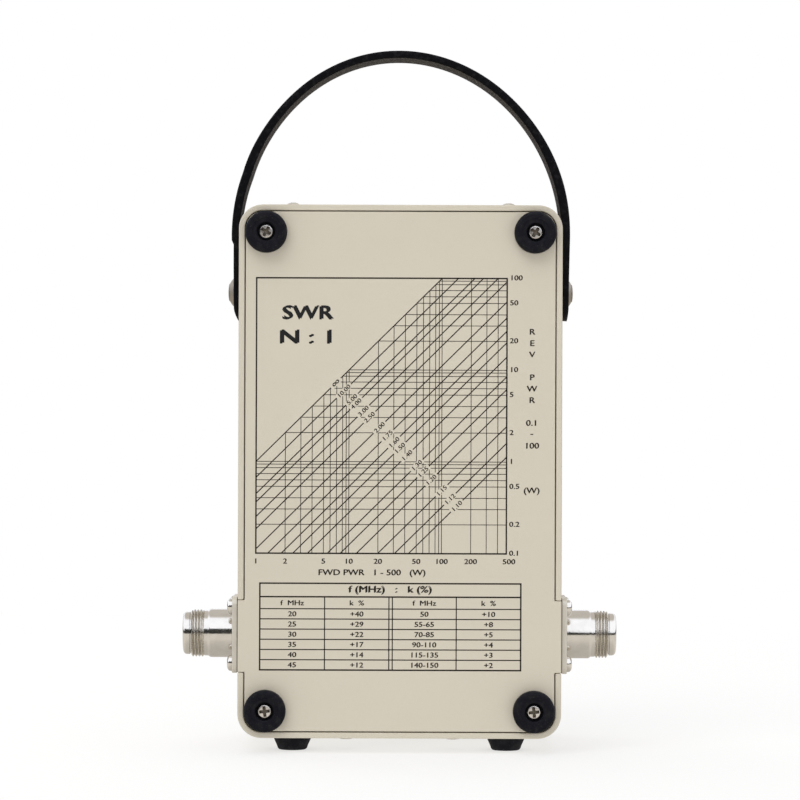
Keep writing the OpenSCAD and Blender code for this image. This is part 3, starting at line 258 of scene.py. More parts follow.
# Materials
class Finish(Graph):
    """A principled material that varies in object space. Sizes, reaches and depths are millimetres."""

    def __init__(self, name, colour, roughness, **sockets):
        self.name = name
        self.material = bpy.data.materials.new(name)
        super().__init__(self.material)
        self.shader = self.nodes["Principled BSDF"]
        self.place = self.add("TexCoord")["Object"]
        self.colour, self.rough, self.normal = (*colour, 1), roughness, None
        self.feed(self.shader, {"Base Color": self.colour, "Roughness": roughness})
        self.feed(self.shader, {socket.replace("_", " "): value for socket, value in sockets.items()})

    def noise(self, size, detail, stretch=None):
        """Noise with features of about that size."""
        place = self.place
        if stretch:
            place = self.add("Mapping", {"Scale": stretch, "Vector": place})["Vector"]
        inputs = {"Scale": 1 / (size * MM), "Detail": detail, "Vector": place}
        return self.add("TexNoise", inputs)["Fac"]

    def tint(self, factor, other):
        """The colour goes towards other as factor goes from 0 to 1."""
        inputs = {"Factor": factor, "A": self.colour, "B": (*other, 1)}
        self.colour = self.add("Mix", inputs, data_type="RGBA")["Result"]
        self.feed(self.shader, {"Base Color": self.colour})
        return self

    def patches(self, size, detail, low, high, most, other):
        """Goes up to most of the way to other where noise rises from low to high."""
        return self.tint(self.ramp(self.noise(size, detail), low, high, 0.0, most), other)

    def grime(self, reach, low, high, most, other):
        """Painted shade: goes up to most of the way to other in hollows and beside edges, as open space
        falls from high to low.
        """
        open_space = self.add("AmbientOcclusion", {"Distance": reach * MM}, samples=8)["AO"]
        return self.tint(self.ramp(open_space, low, high, most, 0.0), other)

    def polish(self, size, detail, spread):
        """The roughness varies by spread to each side of its level."""
        least, most = self.rough - spread, self.rough + spread
        rough = self.ramp(self.noise(size, detail), 0.3, 0.7, least, most)
        self.feed(self.shader, {"Roughness": rough})
        return self

    def emboss(self, height, depth, strength):
        inputs = {"Height": height, "Distance": depth * MM, "Strength": strength}
        if self.normal is not None:
            inputs["Normal"] = self.normal
        self.normal = self.add("Bump", inputs)["Normal"]
        self.feed(self.shader, {"Normal": self.normal})
        return self

    def relief(self, size, detail, depth, strength, stretch=None):
        """Uneven surface of that depth."""
        return self.emboss(self.noise(size, detail, stretch), depth, strength)

    def grain(self, size, depth, strength):
        """Leather grain with cells of that size."""
        cells = self.add("TexVoronoi", {"Scale": 1 / (size * MM), "Vector": self.place})["Distance"]
        return self.emboss(cells, depth, strength)


def scaled(colour, factor):
    return tuple(min(1.0, c * factor) for c in colour)


def metal(name, colour, roughness, spread=0.05, tarnish=0.85, brushed=None, metallic=1.0):
    """Metal with faint tarnish, uneven polish and fine scratches."""
    f = Finish(name, colour, roughness, Metallic=metallic)
    f.patches(4, 4, 0.4, 0.75, 0.6, scaled(colour, tarnish))
    return f.polish(1.5, 4, spread).relief(0.4, 3, 0.006, 0.5, brushed)


def plastic(name, colour, roughness, other=None):
    """Moulded plastic or lacquer with faint mottling and grain."""
    f = Finish(name, colour, roughness).patches(5, 4, 0.4, 0.7, 0.5, other or scaled(colour, 1.25))
    return f.polish(3, 3, 0.07).relief(0.6, 3, 0.02, 0.5)


def screen_ink(name, colour):
    """Screen-printed ink, a little uneven."""
    f = Finish(name, colour, 0.5, Specular_IOR_Level=0.3)
    return f.patches(0.6, 3, 0.5, 0.75, 0.35, scaled(colour, 2.2)).relief(0.3, 2, 0.01, 0.3)


def clear_acrylic(name):
    """Clear acrylic, which the lamps shine through."""
    f = Finish(name, (0.98, 0.99, 0.99), 0.02, Transmission_Weight=1.0, IOR=1.49)
    f.relief(10, 2, 0.01, 0.2)
    shadow = f.add("LightPath")["Is Shadow Ray"]
    lit = f.blend(shadow, f.shader.outputs[0], f.add("BsdfTransparent")[0])
    f.feed(f.nodes["Material Output"], {"Surface": lit})
    return f


BEIGE = (0.655, 0.600, 0.490)
DUST = (0.018, 0.017, 0.018)
FINISHES = [
    # Satin enamel with a faint orange peel, a few darker specks, and painted shade in gaps and beside
    # edges
    Finish("case_paint", BEIGE, 0.42, Specular_IOR_Level=0.4)
    .patches(30, 4, 0.35, 0.65, 0.5, scaled(BEIGE, 1.04))
    .patches(1.2, 2, 0.55, 0.8, 0.25, scaled(BEIGE, 0.93))
    .grime(1.5, 0.1, 0.6, 0.3, scaled(BEIGE, 0.7))
    .polish(8, 3, 0.06).relief(0.9, 2, 0.03, 0.6),
    # Dusty moulded rubber
    Finish("foot_rubber", (0.0042, 0.0044, 0.0078), 0.6, Specular_IOR_Level=0.14)
    .patches(2.5, 4, 0.45, 0.75, 0.6, (0.020, 0.019, 0.020))
    .patches(0.4, 2, 0.62, 0.7, 0.5, (0.05, 0.045, 0.04))
    .polish(2, 3, 0.1).relief(0.3, 3, 0.03, 0.5),
    # Grained vinyl of the strap's outer side and edges, and the fibre backing inside it
    Finish("strap_vinyl", (0.0036, 0.0036, 0.0048), 0.5, Specular_IOR_Level=0.06)
    .patches(1.6, 4, 0.5, 0.75, 0.7, DUST)
    .polish(1, 3, 0.12).grain(0.9, 0.08, 0.7).relief(0.4, 3, 0.03, 0.4),
    Finish("strap_backing", (0.052, 0.044, 0.038), 0.85, Specular_IOR_Level=0.2)
    .patches(0.9, 5, 0.42, 0.62, 1.0, DUST)
    .patches(0.5, 2, 0.60, 0.68, 0.9, (0.17, 0.15, 0.13))
    .relief(0.4, 4, 0.15, 0.8),
    # Nickel: polished, dull on flanges, with painted shade in threads, on screw heads and down in their
    # recesses
    metal("nickel", (0.74, 0.71, 0.64), 0.13, 0.04),
    metal("nickel_satin", (0.72, 0.68, 0.59), 0.5, 0.06, metallic=0.4),
    Finish("nickel_thread", (0.70, 0.66, 0.58), 0.24, Metallic=1.0)
    .grime(0.9, 0.3, 0.85, 0.55, (0.16, 0.14, 0.11))
    .polish(0.8, 4, 0.06).relief(0.3, 3, 0.006, 0.5),
    Finish("nickel_screw", (0.86, 0.83, 0.77), 0.28, Metallic=1.0)
    .patches(4, 4, 0.4, 0.75, 0.5, (0.66, 0.61, 0.52))
    .grime(0.8, 0.2, 0.6, 0.5, (0.10, 0.08, 0.06))
    .polish(1.5, 4, 0.06).relief(0.4, 3, 0.006, 0.5),
    # Cross recesses: nickel darkened as painted shade, darker still deeper in
    Finish("recess_painted_shade", (0.17, 0.145, 0.11), 0.5, Metallic=0.7)
    .grime(0.6, 0.3, 0.8, 1.0, (0.02, 0.016, 0.011)).polish(0.8, 4, 0.1),
    # Cup washers and strap screws: nickel darkened as painted shade and a painted reflection of the
    # dark strap, with faint tarnish
    metal("nickel_cup_shaded", (0.36, 0.32, 0.255), 0.5, 0.06, 0.8),
    metal("zinc_steel", (0.50, 0.50, 0.49), 0.35, 0.08),
    metal("block_aluminium", (0.66, 0.66, 0.66), 0.32, 0.06, 0.9, (1, 12, 12)),
    metal("brass_parts", (0.62, 0.45, 0.20), 0.28, 0.06),
    metal("magnet_alloy", (0.30, 0.30, 0.31), 0.45, 0.08),
    metal("coil_copper", (0.62, 0.27, 0.13), 0.35, 0.06, 0.8, (1, 1, 8)),
    metal("spring_bronze", (0.50, 0.34, 0.17), 0.25),
    # Thin dark ring under each jack's flange: painted shadow line where the flange meets the case
    plastic("painted_shadow_ring", (0.12, 0.11, 0.085), 0.7),
    plastic("ptfe", (0.83, 0.82, 0.78), 0.45, (0.78, 0.77, 0.72)),
    plastic("nylon", (0.02, 0.02, 0.022), 0.5),
    plastic("circuit_board", (0.04, 0.14, 0.05), 0.3, (0.06, 0.18, 0.06)),
    plastic("components", (0.42, 0.30, 0.15), 0.3, (0.30, 0.16, 0.08)),
    plastic("meter_black", (0.012, 0.012, 0.013), 0.28, (0.02, 0.02, 0.021)),
    plastic("pointer_black", (0.015, 0.015, 0.015), 0.5),
    plastic("switch_phenolic", (0.09, 0.05, 0.025), 0.45, (0.13, 0.07, 0.035)),
    plastic("toggle_red", (0.30, 0.02, 0.015), 0.4, (0.38, 0.03, 0.02)),
    plastic("wire_sleeve", (0.30, 0.05, 0.03), 0.35, (0.10, 0.10, 0.30)),
    plastic("index_white", (0.80, 0.79, 0.75), 0.45, (0.74, 0.73, 0.69)),
    clear_acrylic("clear_cover"),
    # Matte off-white enamel of the meter's scale plate
    Finish("scale_white", (0.82, 0.79, 0.70), 0.6, Specular_IOR_Level=0.3)
    .patches(20, 3, 0.4, 0.7, 0.5, (0.80, 0.74, 0.60)).relief(0.4, 2, 0.01, 0.4),
    screen_ink("ink", (0.014, 0.010, 0.006)),
    screen_ink("heading_ink", (0.008, 0.008, 0.008)),
    screen_ink("dial_ink", (0.012, 0.012, 0.012)),
]
MATERIALS = {f.name: f.material for f in FINISHES}

slot_of = {row["node"]: row["material_slot"] for row in frame["record"]["subparts"]}
body_of = {n: body for body, names in frame["record"]["behaviour"]["bodies"].items() for n in names}


# Mesh helpers
def fan_normals(mesh):
    """Vertex normals weighted by the area of their faces: flat faces stay even up to soft edges."""
    bm = bmesh.new()
    bm.from_mesh(mesh)
    areas = {face: face.calc_area() for face in bm.faces}
    order = {loop: i for i, loop in enumerate(loop for face in bm.faces for loop in face.loops)}
    normals = [None] * len(order)
    for vert in bm.verts:
        left = set(vert.link_loops)
        while left:
            seed = left.pop()
            fan, rim = [seed], [seed.face]
            while rim:
                face = rim.pop()
                for edge in face.edges:
                    if vert in edge.verts and edge.smooth:
                        near = [loop for loop in left if loop.face in edge.link_faces]
                        left.difference_update(near)
                        fan += near
                        rim += [loop.face for loop in near]
            total = sum((loop.face.normal * areas[loop.face] for loop in fan), Vector())
            for loop in fan:
                normals[order[loop]] = total.normalized()
    bm.free()
    mesh.normals_split_custom_set(normals)


def add_piece(name, bm, body, slot, material=None, angle=32):
    """Shown piece of a bmesh, riding on body. Edges sharper than angle stay sharp."""
    mesh = bpy.data.meshes.new(name)
    bmesh.ops.recalc_face_normals(bm, faces=bm.faces)
    bm.to_mesh(mesh)
    bm.free()
    mesh.materials.append(MATERIALS[material or slot])
    for face in mesh.polygons:
        face.use_smooth = True
    mesh.set_sharp_from_angle(angle=radians(angle))
    piece = new_object(name, mesh)
    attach(piece, body)
    return piece


def stand_in(name, bm, node, material=None, more=(), angle=32):
    """Shown piece that stands for a CAD node; more are its further materials."""
    piece = add_piece(name, bm, body_of[node], slot_of[node], material, angle)
    for extra in more:
        piece.data.materials.append(MATERIALS[extra])
    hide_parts(node)
    return piece


def cad_copy(node):
    bm = bmesh.new()
    bm.from_mesh(frame["nodes"][node].data)
    bmesh.ops.remove_doubles(bm, verts=bm.verts, dist=2 * WELD)
    return bm


def dress(node, width, more=()):
    """Finished copy of a CAD node with round edges of that width in millimetres."""
    bm = cad_copy(node)
    bmesh.ops.dissolve_limit(bm, angle_limit=radians(0.6), verts=bm.verts, edges=bm.edges)
    least = radians(32)
    sharp = [e for e in bm.edges if len(e.link_faces) == 2 and e.calc_face_angle(0) > least]
    bmesh.ops.bevel(bm, geom=sharp, offset=width * MM, segments=2, profile=0.5, affect="EDGES",
                    clamp_overlap=False)
    piece = stand_in(node + "_finish", bm, node, more=more)
    fan_normals(piece.data)
    return piece


def skin(bm, rings, index=0):
    """Faces from each ring of vertices to the next, where a ring of one vertex is a pole."""
    for low, high in zip(rings, rings[1:]):
        count = max(len(low), len(high))
        for k in range(count):
            j = (k + 1) % count
            corners = low[k % len(low)], low[j % len(low)], high[j % len(high)], high[k % len(high)]
            bm.faces.new(dict.fromkeys(corners)).material_index = index


def solid(bm, rings):
    """Skin over rings, closed at both ends."""
    skin(bm, rings)
    bm.faces.new(rings[0])
    bm.faces.new(reversed(rings[-1]))


def lathe(bm, profile, place, axis, turns=64, unit=MM):
    """Adds a surface of revolution: profile is (radius, height) pairs along axis from place."""
    up = Vector(axis).normalized()
    side = up.orthogonal().normalized()
    across = up.cross(side)
    outs = [c * side + s * across for c, s in circle(turns)]
    rings = []
    for radius, height in profile:
        centre = Vector(place) + up * (height * unit)
        ring = outs if radius else outs[:1]
        rings.append([bm.verts.new(centre + out * (radius * unit)) for out in ring])
    skin(bm, rings)
    return rings


def arc(centre, radius, start, stop, steps=6):
    """Points of an arc in a plane, angles in degrees."""
    turns = [radians(start + (stop - start) * i / steps) for i in range(steps + 1)]
    return [(centre[0] + radius * cos(t), centre[1] + radius * sin(t)) for t in turns]


def rounded(half_u, half_v, radius, steps):
    """Outline of a rectangle with round corners."""
    points = []
    for corner in range(4):
        u = (half_u - radius) * (1 if corner in (0, 3) else -1)
        v = (half_v - radius) * (1 if corner in (0, 1) else -1)
        points += arc((u, v), radius, 90 * corner, 90 * corner + 90, steps)
    return points


def add_turned(name, node, profile, places, material=None):
    """Copies of one turned piece, each from a place along an axis, in place of a CAD node."""
    bm = bmesh.new()
    for place, axis in places:
        lathe(bm, profile, place, axis)
    bmesh.ops.remove_doubles(bm, verts=bm.verts, dist=WELD)
    stand_in(name, bm, node, material)


# Screws and washers
def islands(bm):
    """The loose parts of a bmesh, as lists of vertices, from low to high coordinates."""
    left = set(bm.verts)
    parts = []
    while left:
        part, edge = [], [left.pop()]
        while edge:
            v = edge.pop()
            part.append(v)
            near = left.intersection(e.other_vert(v) for e in v.link_edges)
            left -= near
            edge += near
        parts.append(part)
    return sorted(parts, key=lambda part: tuple(round(min(v.co[i] for v in part), 4) for i in range(3)))


def screw_sizes(part, way):
    """Seat, head radius, head height, shank radius and shank length of one screw of the model."""
    spans = [[v.co[i] for v in part] for i in range(3)]
    centre = Vector([(min(span) + max(span)) / 2 for span in spans])
    rows = []
    for v in part:
        height = (v.co - centre).dot(way)
        rows.append((height, (v.co - centre - way * height).length))
    head_r = max(r for h, r in rows)
    seat = min(h for h, r in rows if r > 0.97 * head_r)
    tail = min(h for h, r in rows)
    shank_r = max(r for h, r in rows if h < tail + 0.1 * MM)
    return centre + way * seat, head_r, max(h for h, r in rows) - seat, shank_r, seat - tail


def cross_outline(arm, turns, turn):
    """Radii round a cross recess with parallel-sided arms that reach out to arm."""
    half_w = 0.29 * arm
    radii = []
    for k in range(turns):
        a = (2 * pi * k / turns - turn + pi / 4) % (pi / 2) - pi / 4
        radii.append(min(arm / cos(a), half_w / max(abs(sin(a)), 1e-6)))
    return radii


def add_screws(node, axis, shoulder=0.22, crown=0.35, arm=0.76, sink=0.0, slim=1.0,
               material="nickel_screw"):
    """Screws with a round head and a cross recess, at the model's places and turned at random.

    shoulder, crown and arm are shares of the head's size: how far its round shoulder reaches in and
    down, and how far the recess reaches out. sink sets the head deeper, and slim makes it narrower."""
    def rise(share):
        """Height of the head at that share of its radius, as a share of its whole height."""
        return 1 - crown * (1 - math.sqrt(1 - max(0.0, 1 - (1 - share) / shoulder) ** 2))

    rng = random.Random(1616)
    turns = 96
    steps, clear = 8, 0.02
    recess = [(1.0, 0.0), (0.96, 0.1), (0.78, 0.6)]
    floor_height = 0.25
    shares = [1 - shoulder * (1 - cos(radians(90 / steps * i))) for i in range(steps + 1)]
    shares = [share for share in shares if share > arm + 2 * clear] + [arm + clear]
    cad = cad_copy(node)
    bm = bmesh.new()
    along = "XYZ".index(axis)
    for part in islands(cad):
        centre = sum((v.co for v in part), Vector()) / len(part)
        way = Vector([0, 0, 0])
        way[along] = 1 if centre[along] > (0.1 if axis == "Z" else 0) else -1
        seat, head_r, head_h, shank_r, shank_l = screw_sizes(part, way)
        seat, shank_l, head_r = seat - way * sink, shank_l - sink, head_r * slim
        turn = rng.uniform(0, pi / 2)
        lathe(bm, [(0, -shank_l), (shank_r, -shank_l), (shank_r, 0)], seat, way, turns, 1)
        profile = [(shank_r, 0), (head_r, 0)] + [(s * head_r, rise(s) * head_h) for s in shares]
        levels = lathe(bm, profile, seat, way, turns, 1)[-1:]
        side = way.orthogonal().normalized()
        across = way.cross(side)
        for share, depth in recess:
            ring = []
            for (c, s), radius in zip(circle(turns), cross_outline(arm * head_r, turns, turn)):
                spot = seat + way * head_h * (rise(radius / head_r) - depth)
                ring.append(bm.verts.new(spot + share * radius * (c * side + s * across)))
            levels.append(ring)
        skin(bm, levels[:2])
        # The recess takes the second material, darkened as painted shade
        skin(bm, levels[1:] + [[bm.verts.new(seat + way * floor_height * head_h)]], 1)
    cad.free()
    bmesh.ops.remove_doubles(bm, verts=bm.verts, dist=WELD)
    stand_in(node + "_turned", bm, node, material, ["recess_painted_shade"])


def add_cup_washers():
    """Cup washers pressed into the strap, which carry on the dome of its screws' heads."""
    low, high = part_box("strap_cup_washers")
    centre = (low + high) / 2
    radius, hole_r, lip_r = (high.z - low.z) / 2 / MM, 2.2, 3.1
    thick, pressed, inner_lip = 1.3, 0.45, 0.6
    dome_r, rise = 7.0, 1.85
    across = [radius + (lip_r - radius) * i / 8 for i in range(9)]
    profile = [(hole_r, -pressed), (radius, -pressed)]
    profile += [(r, rise - dome_r + math.sqrt(dome_r ** 2 - r ** 2)) for r in across]
    profile += [(lip_r, inner_lip), (hole_r, 0), (hole_r, -pressed)]
    places = [((x, centre.y, centre.z), (side, 0, 0))
              for side, x in ((-1, low.x + thick * MM), (1, high.x - thick * MM))]
    # The darker nickel paints shade and the strap's reflection on the cups
    add_turned("strap_cup_washers_turned", "strap_cup_washers", profile, places, "nickel_cup_shaded")


# Rubber feet
FOOT_HOLE_R = 1.65


def ends(low, high, inset):
    """The two coordinates that lie inset millimetres inside low and high."""
    return low + inset * MM, high - inset * MM


def add_rear_feet():
    """Round rubber feet with a soft shoulder, a dished face and a well for the screw."""
    low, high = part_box("rear_feet")
    radius, height = 7.0, (high.y - low.y) / MM
    well_r, seat, lip, shoulder = 3.1, 2.0, 0.35, 1.3
    profile = [(FOOT_HOLE_R, 0), (radius - 0.3, 0), (radius - 0.12, 0.3), (radius - 0.12, 0.55),
               (radius, 0.75)]
    profile += arc((radius - shoulder, height - shoulder), shoulder, 0, 80)
    profile += [(radius - 2.4, height - 0.08), (well_r + 1.4, height - 0.25)]
    profile += arc((well_r + lip, height - 0.35 - lip), lip, 90, 180, 4)
    profile += [(well_r, seat), (FOOT_HOLE_R, seat), (FOOT_HOLE_R, 0)]
    places = [((x, low.y, z), (0, 1, 0)) for x in ends(low.x, high.x, radius)
              for z in ends(low.z, high.z, radius)]
    add_turned("rear_rubber_feet", "rear_feet", profile, places)


def add_bottom_feet():
    """Tapered rubber feet with a chamfered end and a well for the screw."""
    low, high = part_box("bottom_feet")
    radius, end_r, height = 6.25, 4.35, high.z / MM
    well_r, seat, chamfer = 2.6, 2.4, 0.15
    profile = [(FOOT_HOLE_R, 0), (radius - 0.2, 0), (radius, 0.2), (radius, height - 3.7),
               (radius - 0.1, height - 3.4), (end_r + 0.95, height - 1.5), (end_r + 0.65, height - 0.6),
               (end_r + 0.3, height - 0.15), (end_r, height), (well_r + chamfer, height),
               (well_r, height - chamfer), (well_r, height - seat), (FOOT_HOLE_R, height - seat),
               (FOOT_HOLE_R, 0)]
    places = [((x, y, high.z), (0, 0, -1)) for x in ends(low.x, high.x, radius)
              for y in ends(low.y, high.y, radius)]
    add_turned("bottom_rubber_feet", "bottom_feet", profile, places)


# Strap handle, in millimetres
STRAP_T, STRAP_LEG, STRAP_EDGE_R, STRAP_FLAT = 2.6, 17.8, 0.75, 0.1
TAIL_STEPS, LEG_STEPS, ARCH_STEPS = 16, 12, 96
TAIL_TURN = radians(86)
# Its shoulders stand out from an ellipse: height over the arch's start, reach, and extra thickness
SHOULDER_UP, SHOULDER_REACH, SHOULDER_BLEND, SHOULDER_EXTRA = 20, 22, 8, 0.6
SHOULDER_OUT = {-1: 0.75, 1: 0.55}
# One leg is squeezed flatter: up to a height over the stud, by a loss of thickness, and inwards
SQUEEZES = [(14, 0.4, 0.2), (40, 0.2, 0.5)]
SQUEEZE_BLEND = 3
# The tails bend in and thin out towards their ends, less on the leg that isn't squeezed
TAIL_START, TAIL_IN, TAIL_THIN = 0.62, 0.85, 0.36
TAIL_SHARE = {-1: 0.25, 1: 1.0}
ARCH_LEAN = 0.015


def strap_stations(low, high):
    """Places along the strap from tail to tail: centre, outward direction, half width, thickness."""
    stud_z = middle("strap_screws").z / MM
    half_w = (high.y - low.y) / 2
    side_x = high.x - STRAP_T / 2
    arch_z = stud_z + STRAP_LEG
    rise = high.z - STRAP_T / 2 - arch_z

    def spread(side, z):
        """Outward shift of the strap's middle and its extra thickness there."""
        shoulder = math.exp(-((z - arch_z - SHOULDER_UP) / SHOULDER_REACH) ** 2)
        shoulder *= min(1.0, max(0.0, (z - stud_z) / SHOULDER_BLEND))
        extra = SHOULDER_EXTRA * shoulder
        shift = SHOULDER_OUT[side] * shoulder - extra / 2
        rest = 1.0
        for up, loss, inwards in SQUEEZES if side > 0 else ():
            part = rest / (1 + math.exp((z - stud_z - up) / SQUEEZE_BLEND))
            rest -= part
            extra -= loss * part
            shift -= inwards * part
        return shift, extra

    def one_side(side):
        places = []
        for i in range(TAIL_STEPS):
            t = TAIL_TURN * (1 - i / TAIL_STEPS)
            end = max(0.0, sin(t) - TAIL_START) / (1 - TAIL_START)
            z = stud_z - half_w * sin(t)
            out, extra = spread(side, z)
            x = side_x + out - TAIL_IN * TAIL_SHARE[side] * end ** 1.5
            thin = 1 - TAIL_THIN * TAIL_SHARE[side] * end
            places.append((Vector((side * x, 0, z)), half_w * cos(t), (STRAP_T + extra) * thin))
        for i in range(LEG_STEPS):
            z = stud_z + STRAP_LEG * i / LEG_STEPS
            out, extra = spread(side, z)
            places.append((Vector((side * (side_x + out), 0, z)), half_w, STRAP_T + extra))
        return places

    stations = one_side(1)
    for i in range(ARCH_STEPS + 1):
        t = pi * i / ARCH_STEPS
        x, z = side_x * cos(t), arch_z + rise * sin(t)
        out, extra = spread(1 if x > 0 else -1, z)
        lean = ARCH_LEAN * x * sin(t) ** 2
        centre = Vector((x + math.copysign(out, x), 0, z + lean))
        stations.append((centre, half_w, STRAP_T + extra))
    stations += reversed(one_side(-1))
    placed = []
    for i, (centre, width, depth) in enumerate(stations):
        run = stations[min(i + 1, len(stations) - 1)][0] - stations[max(i - 1, 0)][0]
        placed.append((centre, Vector((run.z, 0, -run.x)).normalized(), width, depth))
    return placed, arch_z


def add_strap():
    """Flat strap bent over the case: a sweep of a flat section with rounded edges."""
    low, high = (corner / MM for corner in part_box("strap_handle"))
    stations, arch_z = strap_stations(low, high)
    mid_y = (low.y + high.y) / 2
    bm = bmesh.new()
    rings = []
    for centre, out, width, depth in stations:
        round_r = min(STRAP_EDGE_R, (depth - STRAP_FLAT) / 2)
        outline = rounded(max(width, round_r + STRAP_FLAT), depth / 2, round_r, 3)
        spots = [centre + Vector((0, mid_y + u, 0)) + out * v for u, v in outline]
        rings.append([bm.verts.new(spot * MM) for spot in spots])
    solid(bm, rings)
    strap = stand_in("strap", bm, "strap_handle", more=["strap_backing"], angle=60)
    fan_normals(strap.data)
    for face in strap.data.polygons:
        inward = Vector((-face.center.x, 0, min(0.0, arch_z * MM - face.center.z)))
        if inward.length > 0 and face.normal.dot(inward.normalized()) > 0.8:
            face.material_index = 1


# Coaxial jacks, in millimetres from the flange's seat
# The dark ring under the flange paints its shadow line on the case
FLANGE_T, FLANGE_CORNER_R, FLANGE_SOFT, SHADOW_RING_T, SHADOW_RING_INSET = 2.1, 2.8, 0.3, 0.4, 0.3
BARREL_R, NECK_R, ROOT_R, RELIEF_R, TIP_R = 8.14, 7.6, 7.39, 6.75, 7.15
BARREL_Z, THREAD_Z, RELIEF_Z, TIP_Z = 10.4, 11.9, 16.13, 18.93
MOUTH_R, THROAT_R, THROAT_Z = 4.25, 3.4, 1.2
CREST_R, THREAD_DEPTH, PITCH = 7.94, 0.55, 1.058


def add_thread(bm, place, axis, side):
    """True helical thread along axis, faded out at both ends."""
    turns, rows, fade_rows = 72, 64, 4
    crest_share, flank_share = 0.16, 0.62
    up = Vector(axis)
    across = Vector((0, 0, 1))
    other = up.cross(across)
    rings = []
    for row in range(rows + 1):
        z = (RELIEF_Z - THREAD_Z) * row / rows
        ring = []
        for k, (c, s) in enumerate(circle(turns)):
            flank = abs((z / PITCH - side * k / turns) % 1.0 - 0.5) * 2
            fill = min(1.0, max(0.0, (flank - crest_share) / flank_share))
            fill *= min(1.0, row / fade_rows, (rows - row) / fade_rows)
            radius = CREST_R - THREAD_DEPTH * (1 - fill)
            spot = up * (THREAD_Z + z) + radius * (c * across + s * other)
            ring.append(bm.verts.new(place + spot * MM))
        rings.append(ring)
    skin(bm, rings)


def add_jack(node, side):
    """Jack with its flange on a thin dark ring that paints the shadow line under it, polished barrel,
    helical thread, tip ring and bore.
    """
    low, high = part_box(node)
    centre = (low + high) / 2
    half = (high.z - low.z) / 2 / MM
    seat = Vector((low.x if side > 0 else high.x, centre.y, centre.z))
    axis = (side, 0, 0)
    chamfer, tip_round, mouth_chamfer = 0.45, 1.3, 0.5
    barrel = [(BARREL_R, 1.0), (BARREL_R, 2.2), (BARREL_R, BARREL_Z - 2 * chamfer),
              (BARREL_R - 0.12, BARREL_Z - chamfer), (NECK_R + 0.1, BARREL_Z - 0.02),
              (NECK_R, BARREL_Z + 0.25), (NECK_R, THREAD_Z - 0.2), (ROOT_R, THREAD_Z)]
    tip = [(RELIEF_R, RELIEF_Z), (RELIEF_R, RELIEF_Z + 0.4), (TIP_R, RELIEF_Z + 0.5)]
    tip += arc((TIP_R - tip_round, TIP_Z - tip_round), tip_round, 0, 90, 8)
    tip += [(MOUTH_R + mouth_chamfer, TIP_Z), (MOUTH_R, TIP_Z - mouth_chamfer), (MOUTH_R, THROAT_Z),
            (THROAT_R, THROAT_Z), (THROAT_R, 0.0)]
    bm = bmesh.new()
    lathe(bm, barrel, seat, axis, 96)
    add_thread(bm, seat, axis, side)
    lathe(bm, tip, seat, axis, 96)
    # Flange: heights and insets of its outline
    levels = [(0.0, SHADOW_RING_INSET), (SHADOW_RING_T, SHADOW_RING_INSET), (SHADOW_RING_T + 0.02, 0.0),
              (FLANGE_T - FLANGE_SOFT, 0.0), (FLANGE_T - 0.3 * FLANGE_SOFT, 0.25 * FLANGE_SOFT),
              (FLANGE_T, FLANGE_SOFT)]
    rings = []
    for height, inset in levels:
        outline = rounded(half - inset, half - inset, FLANGE_CORNER_R - inset, 8)
        rings.append([bm.verts.new(seat + Vector((side * height, u, v)) * MM) for u, v in outline])
    solid(bm, rings)
    bmesh.ops.remove_doubles(bm, verts=bm.verts, dist=WELD)
    jack = stand_in(node + "_turned", bm, node, more=["nickel_satin", "nickel_thread", "painted_shadow_ring"])
    fan_normals(jack.data)
    for face in jack.data.polygons:
        spot = (face.center - seat) / MM
        height, radius = abs(spot.x), math.hypot(spot.y, spot.z)
        # Faces of the dark ring under the flange: painted shadow line
        if height < SHADOW_RING_T and radius > 6:
            face.material_index = 3
        elif height < FLANGE_T - 0.05 and abs(face.normal.x) < 0.5:
            face.material_index = 1
        elif THREAD_Z < height < RELIEF_Z and radius > 7:
            face.material_index = 2


